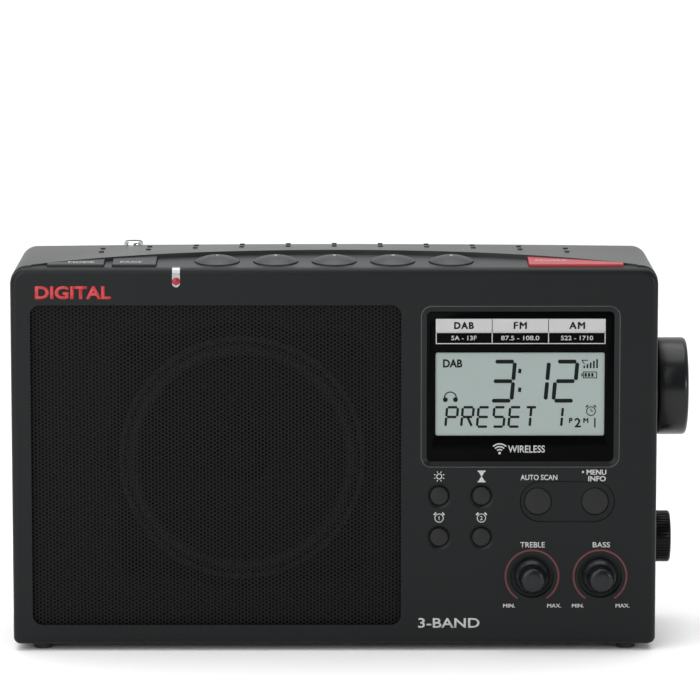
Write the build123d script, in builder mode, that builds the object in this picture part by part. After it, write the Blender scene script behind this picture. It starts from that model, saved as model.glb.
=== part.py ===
"""Tabletop radio: a moulded two-part case, loudspeaker, display, keys, knobs, battery bay and whip antenna.

Frame: +X to the listener's right, +Y from the front panel to the back, +Z up, millimetres.
The origin lies on the table, below the middle of the case.
"""

import os
from math import cos, radians, sin, sqrt

from build123d import *

os.makedirs("parts", exist_ok=True)

# ---------------------------------------------------------------- driving dimensions
CASE_WIDTH = 293.0
CASE_DEPTH = 88.0
FOOT_HEIGHT = 3.0
BEZEL_TOP = 176.0  # height of the front panel's upper edge
WALL = 2.5
TOP_CORNER = 7.7
BOTTOM_CORNER = 3.2
EDGE_ROUND = 2.8
FOOT_RADIUS = 4.3
FOOT_PLACE = (133.5, 34.0)
RIM_DEPTH = 5.0  # how far the front panel's rim reaches back
GAP = 0.3  # working clearance round keys and knobs

FRONT_Y = -CASE_DEPTH / 2
BACK_Y = CASE_DEPTH / 2
SEAM_Y = FRONT_Y + RIM_DEPTH
PANEL_INNER_Y = FRONT_Y + WALL
HALF_WIDTH = CASE_WIDTH / 2

# top of the cabinet: a crown that is high at the front and flattens towards the back
CROWN_FRONT = 182.0
CROWN_FRONT_EDGE = 176.2
CROWN_BACK = 177.4
CROWN_BACK_EDGE = 177.1
REAR_ROUND = 3.0

# bay for the top keys, on a plane that rises towards the back
KEY_TILT = 4.8
KEY_BAY_HALF = 141.9
KEY_BAY_DEPTH = 29.0
KEY_BAY_CLIP = 137.0
KEY_PLATE_THICK = 2.0
KEY_TRAY_THICK = 2.5
KEY_TRAY_LEDGE = 1.5
KEY_STEM_END = -3.2  # lower end of the keys, measured from the key plane
KEY_BOARD_TOP = -7.1
BAY_RADIUS = (KEY_BAY_HALF**2 + KEY_BAY_DEPTH**2) / (2 * KEY_BAY_DEPTH)
BAY_CENTRE = KEY_BAY_DEPTH - BAY_RADIUS
KEY_NORMAL = (0, -sin(radians(KEY_TILT)), cos(radians(KEY_TILT)))
KEY_CROSS = (0, -cos(radians(KEY_TILT)), -sin(radians(KEY_TILT)))
KEY_PLANE = Plane(origin=(0, SEAM_Y, BEZEL_TOP), x_dir=(1, 0, 0), z_dir=KEY_NORMAL)
PRESET_PITCH = 26.6
PRESET_RADIUS = 10.0
PRESET_RIM = 0.6
PRESET_TOP = 3.0
PRESET_Y = 11.8  # from the seam, along the key plane
KEY_RISE = 1.15
KEY_FRONT = 0.6
PRESETS = [PRESET_PITCH * i for i in (-2, -1, 0, 1, 2)]
TOP_KEYS = {"mode_key": (-130.2, -104.0), "page_key": (-100.8, -80.4), "power_key": (87.8, 131.2)}
SWITCHES_BELOW_TOP = [(x, PRESET_Y) for x in PRESETS] + [(-108.0, 5.5), (-90.6, 8.0), (100.0, 7.5)]

# grille and loudspeaker
GRILLE = (-53.6, 85.65)
GRILLE_SIZE = (167.8, 147.1)
GRILLE_CORNER = 4.6
GRILLE_SET_BACK = 1.2
GRILLE_THICK = 0.6
BAFFLE_Y = -36.0
BAFFLE_THICK = 2.5
SPEAKER = (-42.0, 88.5)
SPEAKER_HOLE = 57.0
SPEAKER_FRAME_RADIUS = 61.0
SPEAKER_FRAME_SQUARE = 112.0
SPEAKER_EAR = 49.5
SPEAKER_EARS = [(SPEAKER[0] + i * SPEAKER_EAR, SPEAKER[1] + j * SPEAKER_EAR) for i in (-1, 1) for j in (-1, 1)]
SPEAKER_SCREW_RADIUS = 1.2
SPEAKER_FLANGE_THICK = 1.5
CONE_RADIUS = 46.0
CONE_NECK_Y = -26.0
CAP_RADIUS = 12.6
CAP_TOP = -32.6
CAP_RIM_Y = -27.6
COIL_END_Y = -16.5
MAGNET_Y = -12.0
MAGNET_RADIUS = 35.0
MAGNET_THICK = 13.0
COIL_RADIUS = 12.6

# display
DISPLAY = (84.3, 121.85)
WINDOW_SIZE = (84.9, 68.7)
BEZEL_FLARE = 2.5
WINDOW_SET_BACK = 1.0
WINDOW_THICK = 1.5
LCD = (84.1, 118.3)
LCD_GLASS = (80.0, 42.0)

# power indicator: a bright pill that wraps over the upper front edge, with a lens in its lower half
INDICATOR_X = -71.4
PILL_WIDTH = 3.5
PILL_BOTTOM = 167.4
PILL_BACK = -39.6
PILL_PROUD = 0.15
PILL_THICK = 1.2
LENS_Z = 170.1
LENS_RADIUS = 1.5

# front keys and tone knobs, as (x, z)
SMALL_KEYS = {
    "light_button": (47.6, 71.65),
    "sleep_button": (66.85, 71.65),
    "alarm_1_button": (47.6, 52.6),
    "alarm_2_button": (66.85, 52.6),
}
BIG_KEYS = {"tuning_scan_button": (92.5, 69.1), "menu_button": (118.5, 69.1)}
SMALL_KEY_RADIUS = 4.2
BIG_KEY_RADIUS = 6.1
KEY_DISH_RADIUS = 5.8
KEY_FACE = FRONT_Y + 0.1
KEY_CROWN = 0.35
KEY_FLANGE = PANEL_INNER_Y + 0.25
KEY_TAIL = -37.9
POCKET_CENTRE = (105.9, 69.1)
POCKET_SIZE = (43.4, 19.0)
POCKET_DEPTH = 0.8
TREBLE = (90.0, 34.6)
BASS = (121.0, 34.6)
WELL_RADIUS = 10.0
WELL_DEPTH = 2.0

SKIRT_RADIUS = 8.15
SKIRT_FRONT_Y = -45.9
CAP_BASE_RADIUS = 6.5
KNOB_FRONT_Y = -55.0
KNOB_SOCKET_Y = -50.0
KNOB_BACK_Y = -42.4

# side controls and sockets, as (y, z)
TUNING = (0.0, 115.8)
VOLUME = (0.0, 45.2)
TUNING_RADIUS = 22.5
TUNING_END = 162.5
COLLAR_RADIUS = 24.7
COLLAR_THICK = 1.5
VOLUME_RADIUS = 11.9
VOLUME_END = 155.7
JACKS = ((0.0, 66.0), (0.0, 51.0))
JACK_NOSE = 3.0
JACK_BORE = 1.8
JACK_LENGTH = 14.0
POWER_INLET = (0.0, 34.0)
INLET_NOSE = 4.0
INLET_BORE = 2.9
INLET_PIN = 0.8

# carrying grip at the back
GRIP_SIZE = (150.0, 28.0)
GRIP_Z = 137.0
GRIP_DEPTH = 28.0

# battery bay: six cells in two rows of three
CELL_RADIUS = 13.0
CELL_LENGTH = 50.0
CELL_Y = 27.2
CELL_ROWS = (26.6, 53.6)
BAY_SIZE = (164.0, 56.0)
BAY_Z = 40.1
BAY_FLOOR_Y = 12.6
DOOR_SIZE = (170.0, 64.0)
DOOR_Z = 42.0
DOOR_THICK = 2.2
DOOR_AXIS = (BACK_Y - DOOR_THICK / 2, DOOR_Z - DOOR_SIZE[1] / 2 + DOOR_THICK / 2)
DOOR_PIN = 0.6
CELL_NUB = 1.2
CELL_SHIFT = 5.0
CONTACT_THICK = 0.6

# antenna, whose turret turns on a vertical axis in a ledge along the back of the top
ANTENNA = (-94.2, 38.3)
LEDGE_Z = 167.5
LEDGE_Y = 33.3
LEDGE_LEFT = -150.0
LEDGE_RIGHT = 150.0
HINGE_Z = 172.5
TURRET_RADIUS = 4.7
TURRET_TOP = 179.1
SHANK_RADIUS = 2.0
SLOT_HALF = 1.75
KNUCKLE_HALF = 1.5
HINGE_PIN = 1.0
KNUCKLE_RADIUS = 3.0
SECTION_RADII = (3.2, 2.65, 2.1, 1.6, 1.15)
SECTION_BORES = (2.72, 2.17, 1.67, 1.22)
SECTION_START = 12.0
SECTION_LENGTH = 160.0

SCREW_X = 139.0
SCREW_HEIGHTS = (10.5, 88.0, 155.0)
SCREW_PLACES = [(side * SCREW_X, z) for side in (-1, 1) for z in SCREW_HEIGHTS]
WELL_FLOOR_Y = -14.0
POST_END_Y = -17.0
POST_RADIUS = 4.0
POST_BORE = 1.3
POST_BORE_DEPTH = 14.0
SCREW_WELL_RADIUS = 5.3
SCREW_WELL_BORE = 3.6
SCREW_PASSAGE = 1.7

# grip studs: two rows that curve forward at their ends
STUD_PITCH = 21.45
STUD_COLUMNS = 11
STUD_ROWS = ((15.0, 14.5), (31.2, 15.5))  # y at the middle, and how far the row comes forward at x = 105
STUD_RADIUS = 1.15
STUD_SINK = 0.8
STUD_PROUD = 0.5

# circuit boards and what stands on them
BOSS_RADIUS = 3.0
SWITCH_BODY = 2.4
SWITCH_TIP = 0.6
BOARD_THICK = 1.6
FRONT_BOARD_Y = -34.0
FRONT_BOARD_BOSSES = [(x, z) for x in (40.0, 131.0) for z in (22.0, 155.0)]
MAIN_BOARD_Y = 3.0
MAIN_BOARD_BOSSES = [(x, z) for x in (90.0, 126.0) for z in (84.0, 144.0)]
SHAFT_RADIUS = 3.0
SHAFT_HOLE = 3.2
FERRITE = (4.0, 160.0)  # y and z of the aerial rod
FERRITE_HANGERS = (-62.0, 62.0)
FERRITE_RADIUS = 4.0
HANGER_TOP = 177.6  # inside the cabinet's top wall


def facing_front(y):
    """A plane that looks out of the front panel, with local x along X and local y along Z."""
    return Plane.XZ.offset(-y)


def facing_right(x):
    """A plane that looks out of the right side, with local x along Y and local y along Z."""
    return Plane.YZ.offset(x)


def along_depth(x, z):
    """The half plane in which a profile round an axis parallel to Y is drawn: local (radius, y)."""
    return Plane(origin=(x, 0, z), x_dir=(1, 0, 0), z_dir=(0, 0, 1))


def box_between(low, high):
    """A box given by two opposite corners, kept out of any builder."""
    size = [b - a for a, b in zip(low, high)]
    return Box(*size, align=(Align.MIN,) * 3, mode=Mode.PRIVATE).moved(Location(low))


def screw(place, seat_y, head, head_radius, shank_radius, tip_y):
    """Adds a screw on an axis parallel to Y: its head stands on seat_y and its shank ends at tip_y."""
    with Locations(Location((place[0], seat_y + head / 2, place[1]), (90, 0, 0))):
        Cylinder(head_radius, abs(head))
    with Locations(Location((place[0], (seat_y + tip_y) / 2, place[1]), (90, 0, 0))):
        Cylinder(shank_radius, abs(tip_y - seat_y))


def dome_radius(half_width, height):
    """Radius of the sphere whose cap has this half width and height."""
    return (half_width**2 + height**2) / (2 * height)


def save(piece, name):
    piece.part.label = name
    export_step(piece.part, f"parts/{name}.step")


def case_section(y, half_width, bottom, crown, edge, corner_inset=0.0):
    """A cross-section of the cabinet: flat base, upright sides and a top that arches from edge to crown."""
    top_corner = TOP_CORNER - corner_inset
    bottom_corner = BOTTOM_CORNER - corner_inset
    with BuildSketch(facing_front(y)) as section:
        with BuildLine():
            Line((-half_width, bottom), (half_width, bottom))
            Line((half_width, bottom), (half_width, edge))
            ThreePointArc((half_width, edge), (0, crown), (-half_width, edge))
            Line((-half_width, edge), (-half_width, bottom))
        make_face()
        fillet(section.vertices().group_by(Axis.Y)[0], radius=bottom_corner)
        fillet(section.vertices().group_by(Axis.Y)[-1], radius=top_corner)
    return section.sketch


def bay_outline(grow):
    """Adds the key bay's plan to a sketch on the key plane: straight at the seam, arched at the back."""
    with Locations((0, BAY_CENTRE)):
        Circle(BAY_RADIUS + grow)
    depth = 2 * KEY_BAY_DEPTH
    with Locations((0, depth / 2 - min(grow, 0))):
        Rectangle(2 * (KEY_BAY_CLIP + grow), depth, mode=Mode.INTERSECT)


def key_outline(ends, gap):
    """Adds the plan of a top key that fills the bay from end to end, less a gap."""
    left, right = ends
    with Locations((0, BAY_CENTRE)):
        Circle(BAY_RADIUS - gap)
    depth = 2 * (KEY_BAY_DEPTH - KEY_FRONT - gap)
    with Locations(((left + right) / 2, KEY_FRONT + gap + depth / 2)):
        Rectangle(right - left - 2 * gap, depth, mode=Mode.INTERSECT)


def indicator_profile(x):
    """The side view of the indicator pill: up the front, round the upper edge and back."""
    front, top = FRONT_Y - PILL_PROUD, BEZEL_TOP + PILL_PROUD
    outer, inner = EDGE_ROUND + PILL_PROUD, EDGE_ROUND + PILL_PROUD - PILL_THICK
    with BuildSketch(facing_right(x)) as profile:
        with BuildLine():
            Line((front, PILL_BOTTOM), (front, top - outer))
            RadiusArc((front, top - outer), (front + outer, top), outer)
            Line((front + outer, top), (PILL_BACK, top))
            Line((PILL_BACK, top), (PILL_BACK, top - PILL_THICK))
            Line((PILL_BACK, top - PILL_THICK), (front + outer, top - PILL_THICK))
            RadiusArc((front + outer, top - PILL_THICK), (front + PILL_THICK, top - outer), -inner)
            Line((front + PILL_THICK, top - outer), (front + PILL_THICK, PILL_BOTTOM))
            Line((front + PILL_THICK, PILL_BOTTOM), (front, PILL_BOTTOM))
        make_face()
    return profile.sketch


def top_height(x, y):
    """Height of the cabinet's arched top at a point in plan."""
    heights = []
    for crown, edge in ((CROWN_FRONT, CROWN_FRONT_EDGE), (CROWN_BACK, CROWN_BACK_EDGE)):
        rise = crown - edge
        radius = (HALF_WIDTH**2 + rise**2) / (2 * rise)
        heights.append(crown - radius + sqrt(radius**2 - x**2))
    share = (y - SEAM_Y) / (BACK_Y - SEAM_Y)
    return heights[0] + share * (heights[1] - heights[0])


def stud(x, y, base, height):
    """An upright round stud, kept out of any builder."""
    upright = Cylinder(STUD_RADIUS, height, align=(Align.CENTER, Align.CENTER, Align.MIN), mode=Mode.PRIVATE)
    return upright.moved(Location((x, y, base)))


STUDS = []
for row_y, forward in STUD_ROWS:
    for i in range(STUD_COLUMNS):
        x = STUD_PITCH * (i - STUD_COLUMNS // 2)
        y = row_y - forward * (x / 105) ** 2
        STUDS.append((x, y, top_height(x, y)))


# ---------------------------------------------------------------- front panel
BAFFLE_SIZE = (GRILLE_SIZE[0] + 3.4, GRILLE_SIZE[1] + 3.4)
RECESS_BACK_Y = BAFFLE_Y + BAFFLE_THICK

with BuildPart() as front_panel:
    with BuildSketch(facing_front(SEAM_Y)) as outline:
        with Locations((0, (FOOT_HEIGHT + BEZEL_TOP) / 2)):
            Rectangle(CASE_WIDTH, BEZEL_TOP - FOOT_HEIGHT)
        fillet(outline.vertices().group_by(Axis.Y)[0], radius=BOTTOM_CORNER)
        fillet(outline.vertices().group_by(Axis.Y)[-1], radius=TOP_CORNER)
    extrude(amount=RIM_DEPTH)
    fillet(front_panel.faces().sort_by(Axis.Y)[0].outer_wire().edges(), radius=EDGE_ROUND)
    with BuildSketch(facing_front(SEAM_Y)) as hollow:
        with Locations((0, (FOOT_HEIGHT + BEZEL_TOP) / 2)):
            Rectangle(CASE_WIDTH - 2 * WALL, BEZEL_TOP - FOOT_HEIGHT - 2 * WALL)
        fillet(hollow.vertices(), radius=1.5)
    extrude(amount=RIM_DEPTH - WALL, mode=Mode.SUBTRACT)
    # screw posts that reach back to the cabinet's screw wells, and bosses for the front board
    with BuildSketch(facing_front(POST_END_Y)):
        with Locations(*SCREW_PLACES):
            Circle(POST_RADIUS)
    extrude(amount=POST_END_Y - PANEL_INNER_Y)
    with BuildSketch(facing_front(FRONT_BOARD_Y)):
        with Locations(*FRONT_BOARD_BOSSES):
            Circle(BOSS_RADIUS)
    extrude(amount=FRONT_BOARD_Y - PANEL_INNER_Y)
    # box behind the grille, closed by the baffle
    with BuildSketch(facing_front(RECESS_BACK_Y)):
        with Locations(GRILLE):
            RectangleRounded(BAFFLE_SIZE[0] + 3, BAFFLE_SIZE[1] + 3, GRILLE_CORNER + 2)
    extrude(amount=RECESS_BACK_Y - PANEL_INNER_Y + 0.5)
    with BuildSketch(facing_front(BAFFLE_Y)):
        with Locations(GRILLE):
            RectangleRounded(*BAFFLE_SIZE, GRILLE_CORNER)
    extrude(amount=BAFFLE_Y - FRONT_Y - GRILLE_SET_BACK - 0.6, mode=Mode.SUBTRACT)
    with BuildSketch(facing_front(FRONT_Y)):
        with Locations(GRILLE):
            RectangleRounded(*GRILLE_SIZE, GRILLE_CORNER)
    extrude(amount=-4, mode=Mode.SUBTRACT)
    with BuildSketch(facing_front(BAFFLE_Y)):
        with Locations(SPEAKER):
            Circle(SPEAKER_HOLE)
    extrude(amount=-BAFFLE_THICK, mode=Mode.SUBTRACT)
    # display opening: a flared bezel in front of a ledge for the window
    with BuildSketch(facing_front(PANEL_INNER_Y)):
        with Locations(DISPLAY):
            RectangleRounded(WINDOW_SIZE[0] + 4, WINDOW_SIZE[1] + 4, 4)
    extrude(amount=-2)
    with BuildSketch(facing_front(PANEL_INNER_Y + 2)):
        with Locations(DISPLAY):
            RectangleRounded(WINDOW_SIZE[0] - 4, WINDOW_SIZE[1] - 4, 2)
    extrude(amount=4, mode=Mode.SUBTRACT)
    with BuildSketch(facing_front(PANEL_INNER_Y)):
        with Locations(DISPLAY):
            RectangleRounded(*WINDOW_SIZE, 2.2)
    extrude(amount=WALL, mode=Mode.SUBTRACT)
    with BuildSketch(facing_front(FRONT_Y)):
        with Locations(DISPLAY):
            RectangleRounded(WINDOW_SIZE[0] + 2 * BEZEL_FLARE, WINDOW_SIZE[1] + 2 * BEZEL_FLARE, 4.4)
    with BuildSketch(facing_front(FRONT_Y + WINDOW_SET_BACK)):
        with Locations(DISPLAY):
            RectangleRounded(*WINDOW_SIZE, 2.2)
    loft(mode=Mode.SUBTRACT)
    # shallow pocket round the two big keys
    with BuildSketch(facing_front(FRONT_Y)):
        with Locations(POCKET_CENTRE):
            SlotOverall(*POCKET_SIZE)
    extrude(amount=-POCKET_DEPTH, taper=30, mode=Mode.SUBTRACT)
    with BuildSketch(facing_front(FRONT_Y)):
        with Locations(*BIG_KEYS.values()):
            Circle(BIG_KEY_RADIUS + GAP)
        with Locations(*SMALL_KEYS.values()):
            Circle(SMALL_KEY_RADIUS + GAP)
    extrude(amount=-6, mode=Mode.SUBTRACT)
    for key_centre in SMALL_KEYS.values():
        with BuildSketch(facing_front(FRONT_Y)):
            with Locations(key_centre):
                Circle(KEY_DISH_RADIUS)
        with BuildSketch(facing_front(FRONT_Y + 0.9)):
            with Locations(key_centre):
                Circle(SMALL_KEY_RADIUS + GAP)
        loft(mode=Mode.SUBTRACT)
    # wells of the two tone knobs, each with a floor behind it and a shaft hole
    with BuildSketch(facing_front(PANEL_INNER_Y)):
        with Locations(TREBLE, BASS):
            Circle(WELL_RADIUS + 2)
    extrude(amount=-(WELL_DEPTH + 2 - WALL))
    with BuildSketch(facing_front(FRONT_Y)):
        with Locations(TREBLE, BASS):
            Circle(WELL_RADIUS)
    extrude(amount=-WELL_DEPTH, mode=Mode.SUBTRACT)
    with BuildSketch(facing_front(FRONT_Y)):
        with Locations(TREBLE, BASS):
            Circle(SHAFT_HOLE)
    extrude(amount=-6, mode=Mode.SUBTRACT)
    with BuildSketch(facing_front(POST_END_Y)):
        with Locations(*SCREW_PLACES):
            Circle(POST_BORE)
    extrude(amount=POST_BORE_DEPTH, mode=Mode.SUBTRACT)
    # seat of the indicator, wrapped over the upper edge
    extrude(indicator_profile(INDICATOR_X + PILL_WIDTH / 2), amount=-PILL_WIDTH, mode=Mode.SUBTRACT)
    with BuildSketch(facing_front(FRONT_Y)):
        with Locations(*SPEAKER_EARS):
            Circle(SPEAKER_SCREW_RADIUS)
    extrude(amount=-12, mode=Mode.SUBTRACT)
save(front_panel, "front_panel")


# ---------------------------------------------------------------- rear cabinet
with BuildPart() as case_body:
    loft([
        case_section(SEAM_Y, HALF_WIDTH, FOOT_HEIGHT, CROWN_FRONT, CROWN_FRONT_EDGE),
        case_section(BACK_Y, HALF_WIDTH, FOOT_HEIGHT, CROWN_BACK, CROWN_BACK_EDGE),
    ])
    fillet(case_body.faces().sort_by(Axis.Y)[-1].outer_wire().edges(), radius=REAR_ROUND)

with BuildPart() as case_hollow:
    loft([
        case_section(SEAM_Y - 1, HALF_WIDTH - WALL, FOOT_HEIGHT + WALL, CROWN_FRONT - WALL,
                     CROWN_FRONT_EDGE - WALL, WALL),
        case_section(BACK_Y - WALL, HALF_WIDTH - WALL, FOOT_HEIGHT + WALL, CROWN_BACK - WALL,
                     CROWN_BACK_EDGE - WALL, WALL),
    ])

with BuildPart() as key_tray:
    with BuildSketch(KEY_PLANE.offset(-KEY_PLATE_THICK - KEY_TRAY_THICK)):
        bay_outline(WALL)
    extrude(amount=14)
    add(case_body.part, mode=Mode.INTERSECT)

LEDGE_WALL_Y = LEDGE_Y - WALL
GRIP_LOW = (-GRIP_SIZE[0] / 2, BACK_Y - GRIP_DEPTH, GRIP_Z - GRIP_SIZE[1] / 2)
GRIP_HIGH = (GRIP_SIZE[0] / 2, BACK_Y + 5, GRIP_Z + GRIP_SIZE[1] / 2)
BAY_LOW = (-BAY_SIZE[0] / 2, BAY_FLOOR_Y, BAY_Z - BAY_SIZE[1] / 2)
BAY_HIGH = (BAY_SIZE[0] / 2, BACK_Y + 5, BAY_Z + BAY_SIZE[1] / 2)
DOOR_RIM = 3.0
SEAT_HALF = DOOR_SIZE[0] / 2 + GAP
SEAT_LOW = DOOR_Z - DOOR_SIZE[1] / 2 - GAP
SEAT_HIGH = DOOR_Z + DOOR_SIZE[1] / 2 + GAP


def lined(low, high, thick):
    """The block that leaves a wall of this thickness round a pocket open to the back."""
    outer_low = [c - thick for c in low]
    outer_high = (high[0] + thick, BACK_Y - WALL, high[2] + thick)
    return box_between(outer_low, outer_high)


with BuildPart() as ledge_liner:
    add(box_between((LEDGE_LEFT, LEDGE_WALL_Y, LEDGE_Z - WALL), (LEDGE_RIGHT + WALL, BACK_Y, 185)))
    add(case_body.part, mode=Mode.INTERSECT)

with BuildPart() as rear_cabinet:
    add(case_body.part)
    add(case_hollow.part, mode=Mode.SUBTRACT)
    add(key_tray.part)
    add(ledge_liner.part)
    add(lined(GRIP_LOW, GRIP_HIGH, WALL))
    add(lined(BAY_LOW, BAY_HIGH, 2.0))
    add(box_between((-DOOR_SIZE[0] / 2 - DOOR_RIM, BACK_Y - 4.5, DOOR_Z - DOOR_SIZE[1] / 2 - DOOR_RIM),
                    (DOOR_SIZE[0] / 2 + DOOR_RIM, BACK_Y - 2, DOOR_Z + DOOR_SIZE[1] / 2 + DOOR_RIM)))
    # screw wells, standoffs of the main board and hangers of the aerial rod
    with BuildSketch(facing_front(POST_END_Y)):
        with Locations(*SCREW_PLACES):
            Circle(SCREW_WELL_RADIUS)
    extrude(amount=-(BACK_Y - 2 - POST_END_Y))
    with BuildSketch(facing_front(MAIN_BOARD_Y + BOARD_THICK)):
        with Locations(*MAIN_BOARD_BOSSES):
            Circle(BOSS_RADIUS)
    extrude(amount=-(BACK_Y - 2 - MAIN_BOARD_Y - BOARD_THICK))
    for x in FERRITE_HANGERS:
        add(box_between((x - 2, FERRITE[0] - 7, FERRITE[1] - 7), (x + 2, FERRITE[0] + 7, HANGER_TOP)))
    # key bay: the plate's seat, then the opening below it with ribs that carry the key board
    with BuildSketch(KEY_PLANE.offset(-KEY_PLATE_THICK)):
        bay_outline(0)
    extrude(amount=14, mode=Mode.SUBTRACT)
    with BuildSketch(KEY_PLANE.offset(-KEY_PLATE_THICK - KEY_TRAY_THICK)):
        bay_outline(-KEY_TRAY_LEDGE)
    extrude(amount=KEY_TRAY_THICK, mode=Mode.SUBTRACT)
    for ends in TOP_KEYS.values():
        with BuildSketch(KEY_PLANE):
            key_outline(ends, 0)
        extrude(amount=-KEY_PLATE_THICK - KEY_TRAY_THICK, mode=Mode.SUBTRACT)
    with BuildSketch(KEY_PLANE.offset(KEY_BOARD_TOP)):
        with Locations(*[(x, 13.5) for x in (-70, -40, 40, 70)]):
            Rectangle(2, 25)
    extrude(amount=-KEY_BOARD_TOP - KEY_PLATE_THICK)
    # pockets: finger grip, battery bay, door seat, antenna ledge
    add(box_between(GRIP_LOW, GRIP_HIGH), mode=Mode.SUBTRACT)
    add(box_between(BAY_LOW, BAY_HIGH), mode=Mode.SUBTRACT)
    add(box_between((-SEAT_HALF, BACK_Y - DOOR_THICK - 0.2, SEAT_LOW), (SEAT_HALF, BACK_Y + 5, SEAT_HIGH)),
        mode=Mode.SUBTRACT)
    add(box_between((LEDGE_LEFT, LEDGE_Y, LEDGE_Z), (LEDGE_RIGHT, BACK_Y + 5, 190)), mode=Mode.SUBTRACT)
    with BuildSketch(facing_front(BACK_Y + 1)):
        with Locations(*SCREW_PLACES):
            Circle(SCREW_WELL_BORE)
    extrude(amount=BACK_Y + 1 - WELL_FLOOR_Y, mode=Mode.SUBTRACT)
    with BuildSketch(facing_front(POST_END_Y - 1)):
        with Locations(*SCREW_PLACES):
            Circle(SCREW_PASSAGE)
    extrude(amount=-6, mode=Mode.SUBTRACT)
    with BuildSketch(facing_right(FERRITE_HANGERS[0] - 3)):
        with Locations(FERRITE):
            Circle(FERRITE_RADIUS)
    extrude(amount=130, mode=Mode.SUBTRACT)
    # antenna hole, side control holes, socket holes and the door's hinge holes
    with BuildSketch(Plane.XY.offset(LEDGE_Z + 1)):
        with Locations(ANTENNA):
            Circle(SHANK_RADIUS + GAP)
    extrude(amount=-WALL - 2, mode=Mode.SUBTRACT)
    with BuildSketch(facing_right(HALF_WIDTH + 1)):
        with Locations(TUNING, VOLUME):
            Circle(SHAFT_HOLE)
    extrude(amount=-5, mode=Mode.SUBTRACT)
    with BuildSketch(facing_right(-HALF_WIDTH - 1)):
        with Locations(*JACKS):
            Circle(JACK_NOSE)
        with Locations(POWER_INLET):
            Circle(INLET_NOSE)
    extrude(amount=5, mode=Mode.SUBTRACT)
    with BuildSketch(facing_right(-DOOR_SIZE[0] / 2 - 2.2)):
        with Locations(DOOR_AXIS):
            Circle(DOOR_PIN + 0.1)
    extrude(amount=DOOR_SIZE[0] + 4.4, mode=Mode.SUBTRACT)
    # seats of the grip studs
    for x, y, z in STUDS:
        add(stud(x, y, z - STUD_SINK, STUD_SINK + 3), mode=Mode.SUBTRACT)
save(rear_cabinet, "rear_cabinet")

with BuildPart() as grip_studs:
    for x, y, z in STUDS:
        add(stud(x, y, z - STUD_SINK, STUD_SINK + STUD_PROUD))
save(grip_studs, "grip_studs")

# ---------------------------------------------------------------- top keys
with BuildPart() as top_key_plate:
    with BuildSketch(KEY_PLANE.offset(-KEY_PLATE_THICK)):
        bay_outline(-0.05)
    extrude(amount=KEY_PLATE_THICK)
    with BuildSketch(KEY_PLANE):
        with Locations(*[(x, PRESET_Y) for x in PRESETS]):
            Circle(PRESET_RADIUS + GAP)
    extrude(amount=-KEY_PLATE_THICK, mode=Mode.SUBTRACT)
    for ends in TOP_KEYS.values():
        with BuildSketch(KEY_PLANE):
            key_outline(ends, 0)
        extrude(amount=-KEY_PLATE_THICK, mode=Mode.SUBTRACT)
save(top_key_plate, "top_key_plate")

for name, ends in TOP_KEYS.items():
    with BuildPart() as top_key:
        with BuildSketch(KEY_PLANE.offset(KEY_STEM_END)):
            key_outline(ends, GAP)
        extrude(amount=KEY_RISE - KEY_STEM_END)
        fillet(top_key.faces().sort_by(Axis.Z)[-1].edges(), radius=0.35)
    save(top_key, name)

for number, x in enumerate(PRESETS, start=1):
    centre = KEY_PLANE.from_local_coords((x, PRESET_Y, 0))
    with BuildPart() as preset:
        with BuildSketch(Plane(origin=centre, x_dir=(1, 0, 0), z_dir=KEY_CROSS)):
            with BuildLine():
                Polyline((0, PRESET_TOP), (0, KEY_STEM_END), (PRESET_RADIUS, KEY_STEM_END),
                         (PRESET_RADIUS, PRESET_RIM))
                RadiusArc((PRESET_RADIUS, PRESET_RIM), (0, PRESET_TOP),
                          -dome_radius(PRESET_RADIUS, PRESET_TOP - PRESET_RIM))
            make_face()
        revolve(axis=Axis(centre, KEY_NORMAL))
    save(preset, f"preset_{number}_key")

with BuildPart() as key_board:
    with BuildSketch(KEY_PLANE.offset(KEY_BOARD_TOP)):
        with Locations((0, 9)):
            Rectangle(228, 15)
    extrude(amount=-BOARD_THICK)
save(key_board, "key_board")

# ---------------------------------------------------------------- loudspeaker and grille
with BuildPart() as speaker_grille:
    with BuildSketch(facing_front(FRONT_Y + GRILLE_SET_BACK)):
        with Locations(GRILLE):
            RectangleRounded(GRILLE_SIZE[0] - 0.1, GRILLE_SIZE[1] - 0.1, GRILLE_CORNER)
    extrude(amount=-GRILLE_THICK)
    with BuildSketch(facing_front(FRONT_Y + GRILLE_SET_BACK + GRILLE_THICK)):
        with Locations(GRILLE):
            RectangleRounded(BAFFLE_SIZE[0] - 0.1, BAFFLE_SIZE[1] - 0.1, GRILLE_CORNER)
            RectangleRounded(GRILLE_SIZE[0] - 5, GRILLE_SIZE[1] - 5, GRILLE_CORNER, mode=Mode.SUBTRACT)
    extrude(amount=-0.8)
save(speaker_grille, "speaker_grille")

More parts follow.
